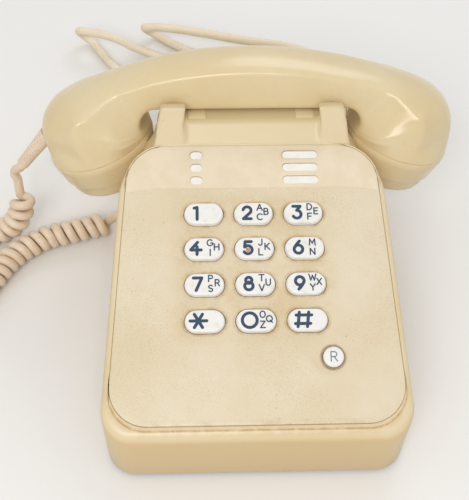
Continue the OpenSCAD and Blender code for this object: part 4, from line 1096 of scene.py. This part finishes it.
def half_outline(top, low, a, side, rear):
    """Half a section as (w, r): crown, band edge, outer crease, inner crease, lower edge and inner middle."""
    p0 = (0, top)
    p1 = (BAND, top - key(a, (-16.5, 3.34), (15, 2.6), (40, FALL)))
    k = key(a, (38, 0), (52, 1))
    w2 = key(a, (-16.5, 26.93), (-5, 26.2), (5, 25.4), (14, 24.4), (22, 22.8), (30, 19.4), (40, 16), (50, BAND))
    r2 = key(a, (-16.5, 31.9), (-5, 33.2), (5, 35), (14, 37.2), (20, 37.4), (26, 35.2), (33, 33.2), (42, 31.6))
    if side < 0:
        r2 += key(a, (-16.5, 0.5), (0, 2.2), (22, 2.2), (36, 0))
    if rear:
        w2 -= key(a, (-16.5, 0), (0, 0.6), (20, 1.6), (36, 1.4), (50, 0))
        r2 -= key(a, (-16.5, 0), (0, 1), (20, 2.4), (36, 1.6), (50, 0))
    p2 = (w2, min(mix(r2, p1[1], k), p1[1]))
    w3 = key(a, (-16.5, 21.8), (0, 23.6), (12, 23.6), (20, 21.4), (30, 18.2), (40, 15.6), (52, BAND))
    r3 = key(a, (-16.5, 14.1), (0, 15.0), (12, 17.6), (20, 21.8), (30, 26.6), (42, 29.6))
    p3 = (w3, min(mix(r3, p1[1], k), p2[1]))
    p4 = (key(a, (-16.5, 11.4), (10, 13.5), (40, 13.6), (90, 12.4)),
          low + key(a, (-16.5, 2.5), (20, 2.0), (60, 0.9)))
    p5 = (0, low)
    f = smooth((a + 16.5) / 14)
    parts = [(p0, (0.53 * BAND, top), p1),
             (p1, (mix(p1[0], p2[0], mix(0.93, 0.56, f)), mix(p1[1], p2[1], mix(0.33, 0.45, f))), p2),
             (p2, ((p2[0] + p3[0]) / 2 + key(a, (-16.5, 3.2), (0, 1.0), (10, 0.4), (45, 0)),
                   (p2[1] + p3[1]) / 2), p3),
             (p3, (mix(p3[0], p4[0], 0.39) + key(a, (-16.5, 0), (30, 0.5), (60, 0.9)),
                   mix(p3[1], p4[1], key(a, (-16.5, 0.65), (40, 0.5)))), p4),
             (p4, (0.52 * p4[0], low), p5)]
    out = []
    for a0, a1, a2 in parts:
        for j in range(24):
            t = j / 24
            out.append([a0[i] * (1 - t) ** 2 + 2 * a1[i] * t * (1 - t) + a2[i] * t * t for i in (0, 1)])
    return np.array(out + [list(p5)])


def outline(top, low, a, rounds, side, n=64):
    both = []
    for rear in (False, True):
        h = half_outline(top, low, a, side, rear)
        d = np.concatenate([[0], np.cumsum(np.linalg.norm(np.diff(h, axis=0), axis=1))])
        q = np.linspace(0, d[-1], n + 1)
        both.append(np.c_[np.interp(q, d, h[:, 0]), np.interp(q, d, h[:, 1])])
    full = np.vstack([both[0], (both[1] * [-1, 1])[::-1][1:-1]])
    for _ in range(rounds):
        full = (np.roll(full, 1, 0) + 2 * full + np.roll(full, -1, 0)) / 4
    return full


def settled(x, w, t):
    """The handset's ends: the left one hangs a little lower, as in use."""
    return from_hook(x, w, t + 0.5 * smooth((x - 40) / 35) - 1.3 * smooth((-x - 40) / 35))


def fan_ring(a, side):
    rounds = int(round(key(a, (-16.5, 0), (-10, 1), (20, 3), (40, 7), (70, 14))))
    return [settled(side * (PIVOT_X + r * math.cos(rad(a))), -w, PIVOT_T + r * math.sin(rad(a)))
            for w, r in outline(fan_top(a, side), fan_low(a), a, rounds, side)]


fan = [-CUP_TILT + (90 + CUP_TILT) * k / 64 for k in range(65)]
rings = [fan_ring(a, 1) for a in fan]
rings += [[settled(x, -w, r) for w, r in outline(back_line(x), GRIP_T, 90, 14, 1)]
          for x in (PIVOT_X * (1 - k / 14) for k in range(1, 28))]
rings += [fan_ring(a, -1) for a in reversed(fan)]
handset = loft("handset_body", rings, angle=60)
dress(handset, M_HANDSET, "handset", "handset_plastic", "handset_shell")


def cup_point(side, x, w, z):
    """Cup coordinates (x outwards, w towards the rear, z up along the cup's axis) to the row frame."""
    c, s = math.cos(rad(CUP_TILT)), math.sin(rad(CUP_TILT))
    return settled(side * (CUP_DIST / 2 + x * c + z * s), w, -x * s + z * c)


def cap_piece(name, side):
    """A cap: a seam groove, a short wall, a cone with a ridge line and a dished face with sound holes."""
    profile = [(25.6, 0.25), (26.2, -0.35), (26.75, -0.75), (26.95, -1.4), (26.9, -3.6), (26.6, -4.6),
               (24.75, -13.3), (24.5, -13.8), (23.9, -14.6), (22.7, -19.0), (22.0, -20.6), (20.9, -21.7),
               (19.4, -22.2), (18, -22.3), (17.2, -22.1), (16.6, -21.5), (16.2, -21.2), (10, -20.9),
               (4, -20.8), (0.2, -20.8)]
    obj = loft(name, [[cup_point(side, x, w, z) for x, w in circle(r, 96)] for r, z in profile], angle=25)
    for hole in [(0, 0)] + circle(8, 6):
        rim = circle(1.3, 20, *hole)
        cut(obj, loft("c", [[cup_point(side, x, w, z) for x, w in rim] for z in (-24, -18.6)]))
    tidy(obj, 25)
    return obj


dress(cap_piece("cap_mouth", -1), M_HANDSET, "handset", "handset_plastic", "mouth_cap")
dress(cap_piece("cap_ear", 1), M_HANDSET, "handset", "handset_plastic", "ear_cap")

# ---------------- surroundings
floor_m = Nodes("floor_pale")
ray = floor_m.put("ShaderNodeLightPath")
mirrored_ray = floor_m.math("MAXIMUM", ray.outputs["Is Glossy Ray"], ray.outputs["Is Transmission Ray"])
seen = floor_m.math("MAXIMUM", ray.outputs["Is Camera Ray"], mirrored_ray)
shade = floor_m.ramp(floor_m.noise(3, 2), 0.3, 0.7)
tone = floor_m.mix(shade, (0.88, 0.88, 0.88, 1), (0.91, 0.91, 0.91, 1))
floor_m.done(floor_m.mix(seen, (0.56, 0.55, 0.53, 1), tone), 0.85)
bpy.ops.mesh.primitive_plane_add(size=8, location=(0, 0, -0.0002))
floor = bpy.context.object
floor.name = "floor"
floor.data.materials.append(floor_m.mat)

world = bpy.data.worlds.new("world")
bpy.context.scene.world = world
world.use_nodes = True
bg = world.node_tree.nodes["Background"]
bg.inputs[0].default_value = (1.0, 0.985, 0.955, 1)
bg.inputs[1].default_value = 0.64


def lamp(name, at, to, size, power, colour=(1, 1, 1)):
    data = bpy.data.lights.new(name, "AREA")
    data.shape, data.size, data.size_y = "RECTANGLE", size[0], size[1]
    data.energy, data.color = power, colour
    ob = bpy.data.objects.new(name, data)
    bpy.context.scene.collection.objects.link(ob)
    ob.location = at
    ob.rotation_euler = (Vector(to) - Vector(at)).to_track_quat("-Z", "Y").to_euler()
    return ob


lamp("key_light", (-0.3, -0.95, 1.02), (0, 0, 0.05), (0.7, 0.5), 5.75, (1, 0.975, 0.94))
lamp("left_light", (-0.12, -0.9, 1.1), (0, 0, 0.05), (0.07, 0.22), 0.8, (1, 0.98, 0.95))
lamp("right_light", (0.19, -0.9, 1.1), (0, 0, 0.05), (0.07, 0.22), 0.8, (1, 0.98, 0.95))
lamp("back_light", (0.3, 0.95, 0.9), (0, 0, 0.08), (0.8, 0.5), 2.4)

bpy.context.scene.view_settings.view_transform = "Standard"
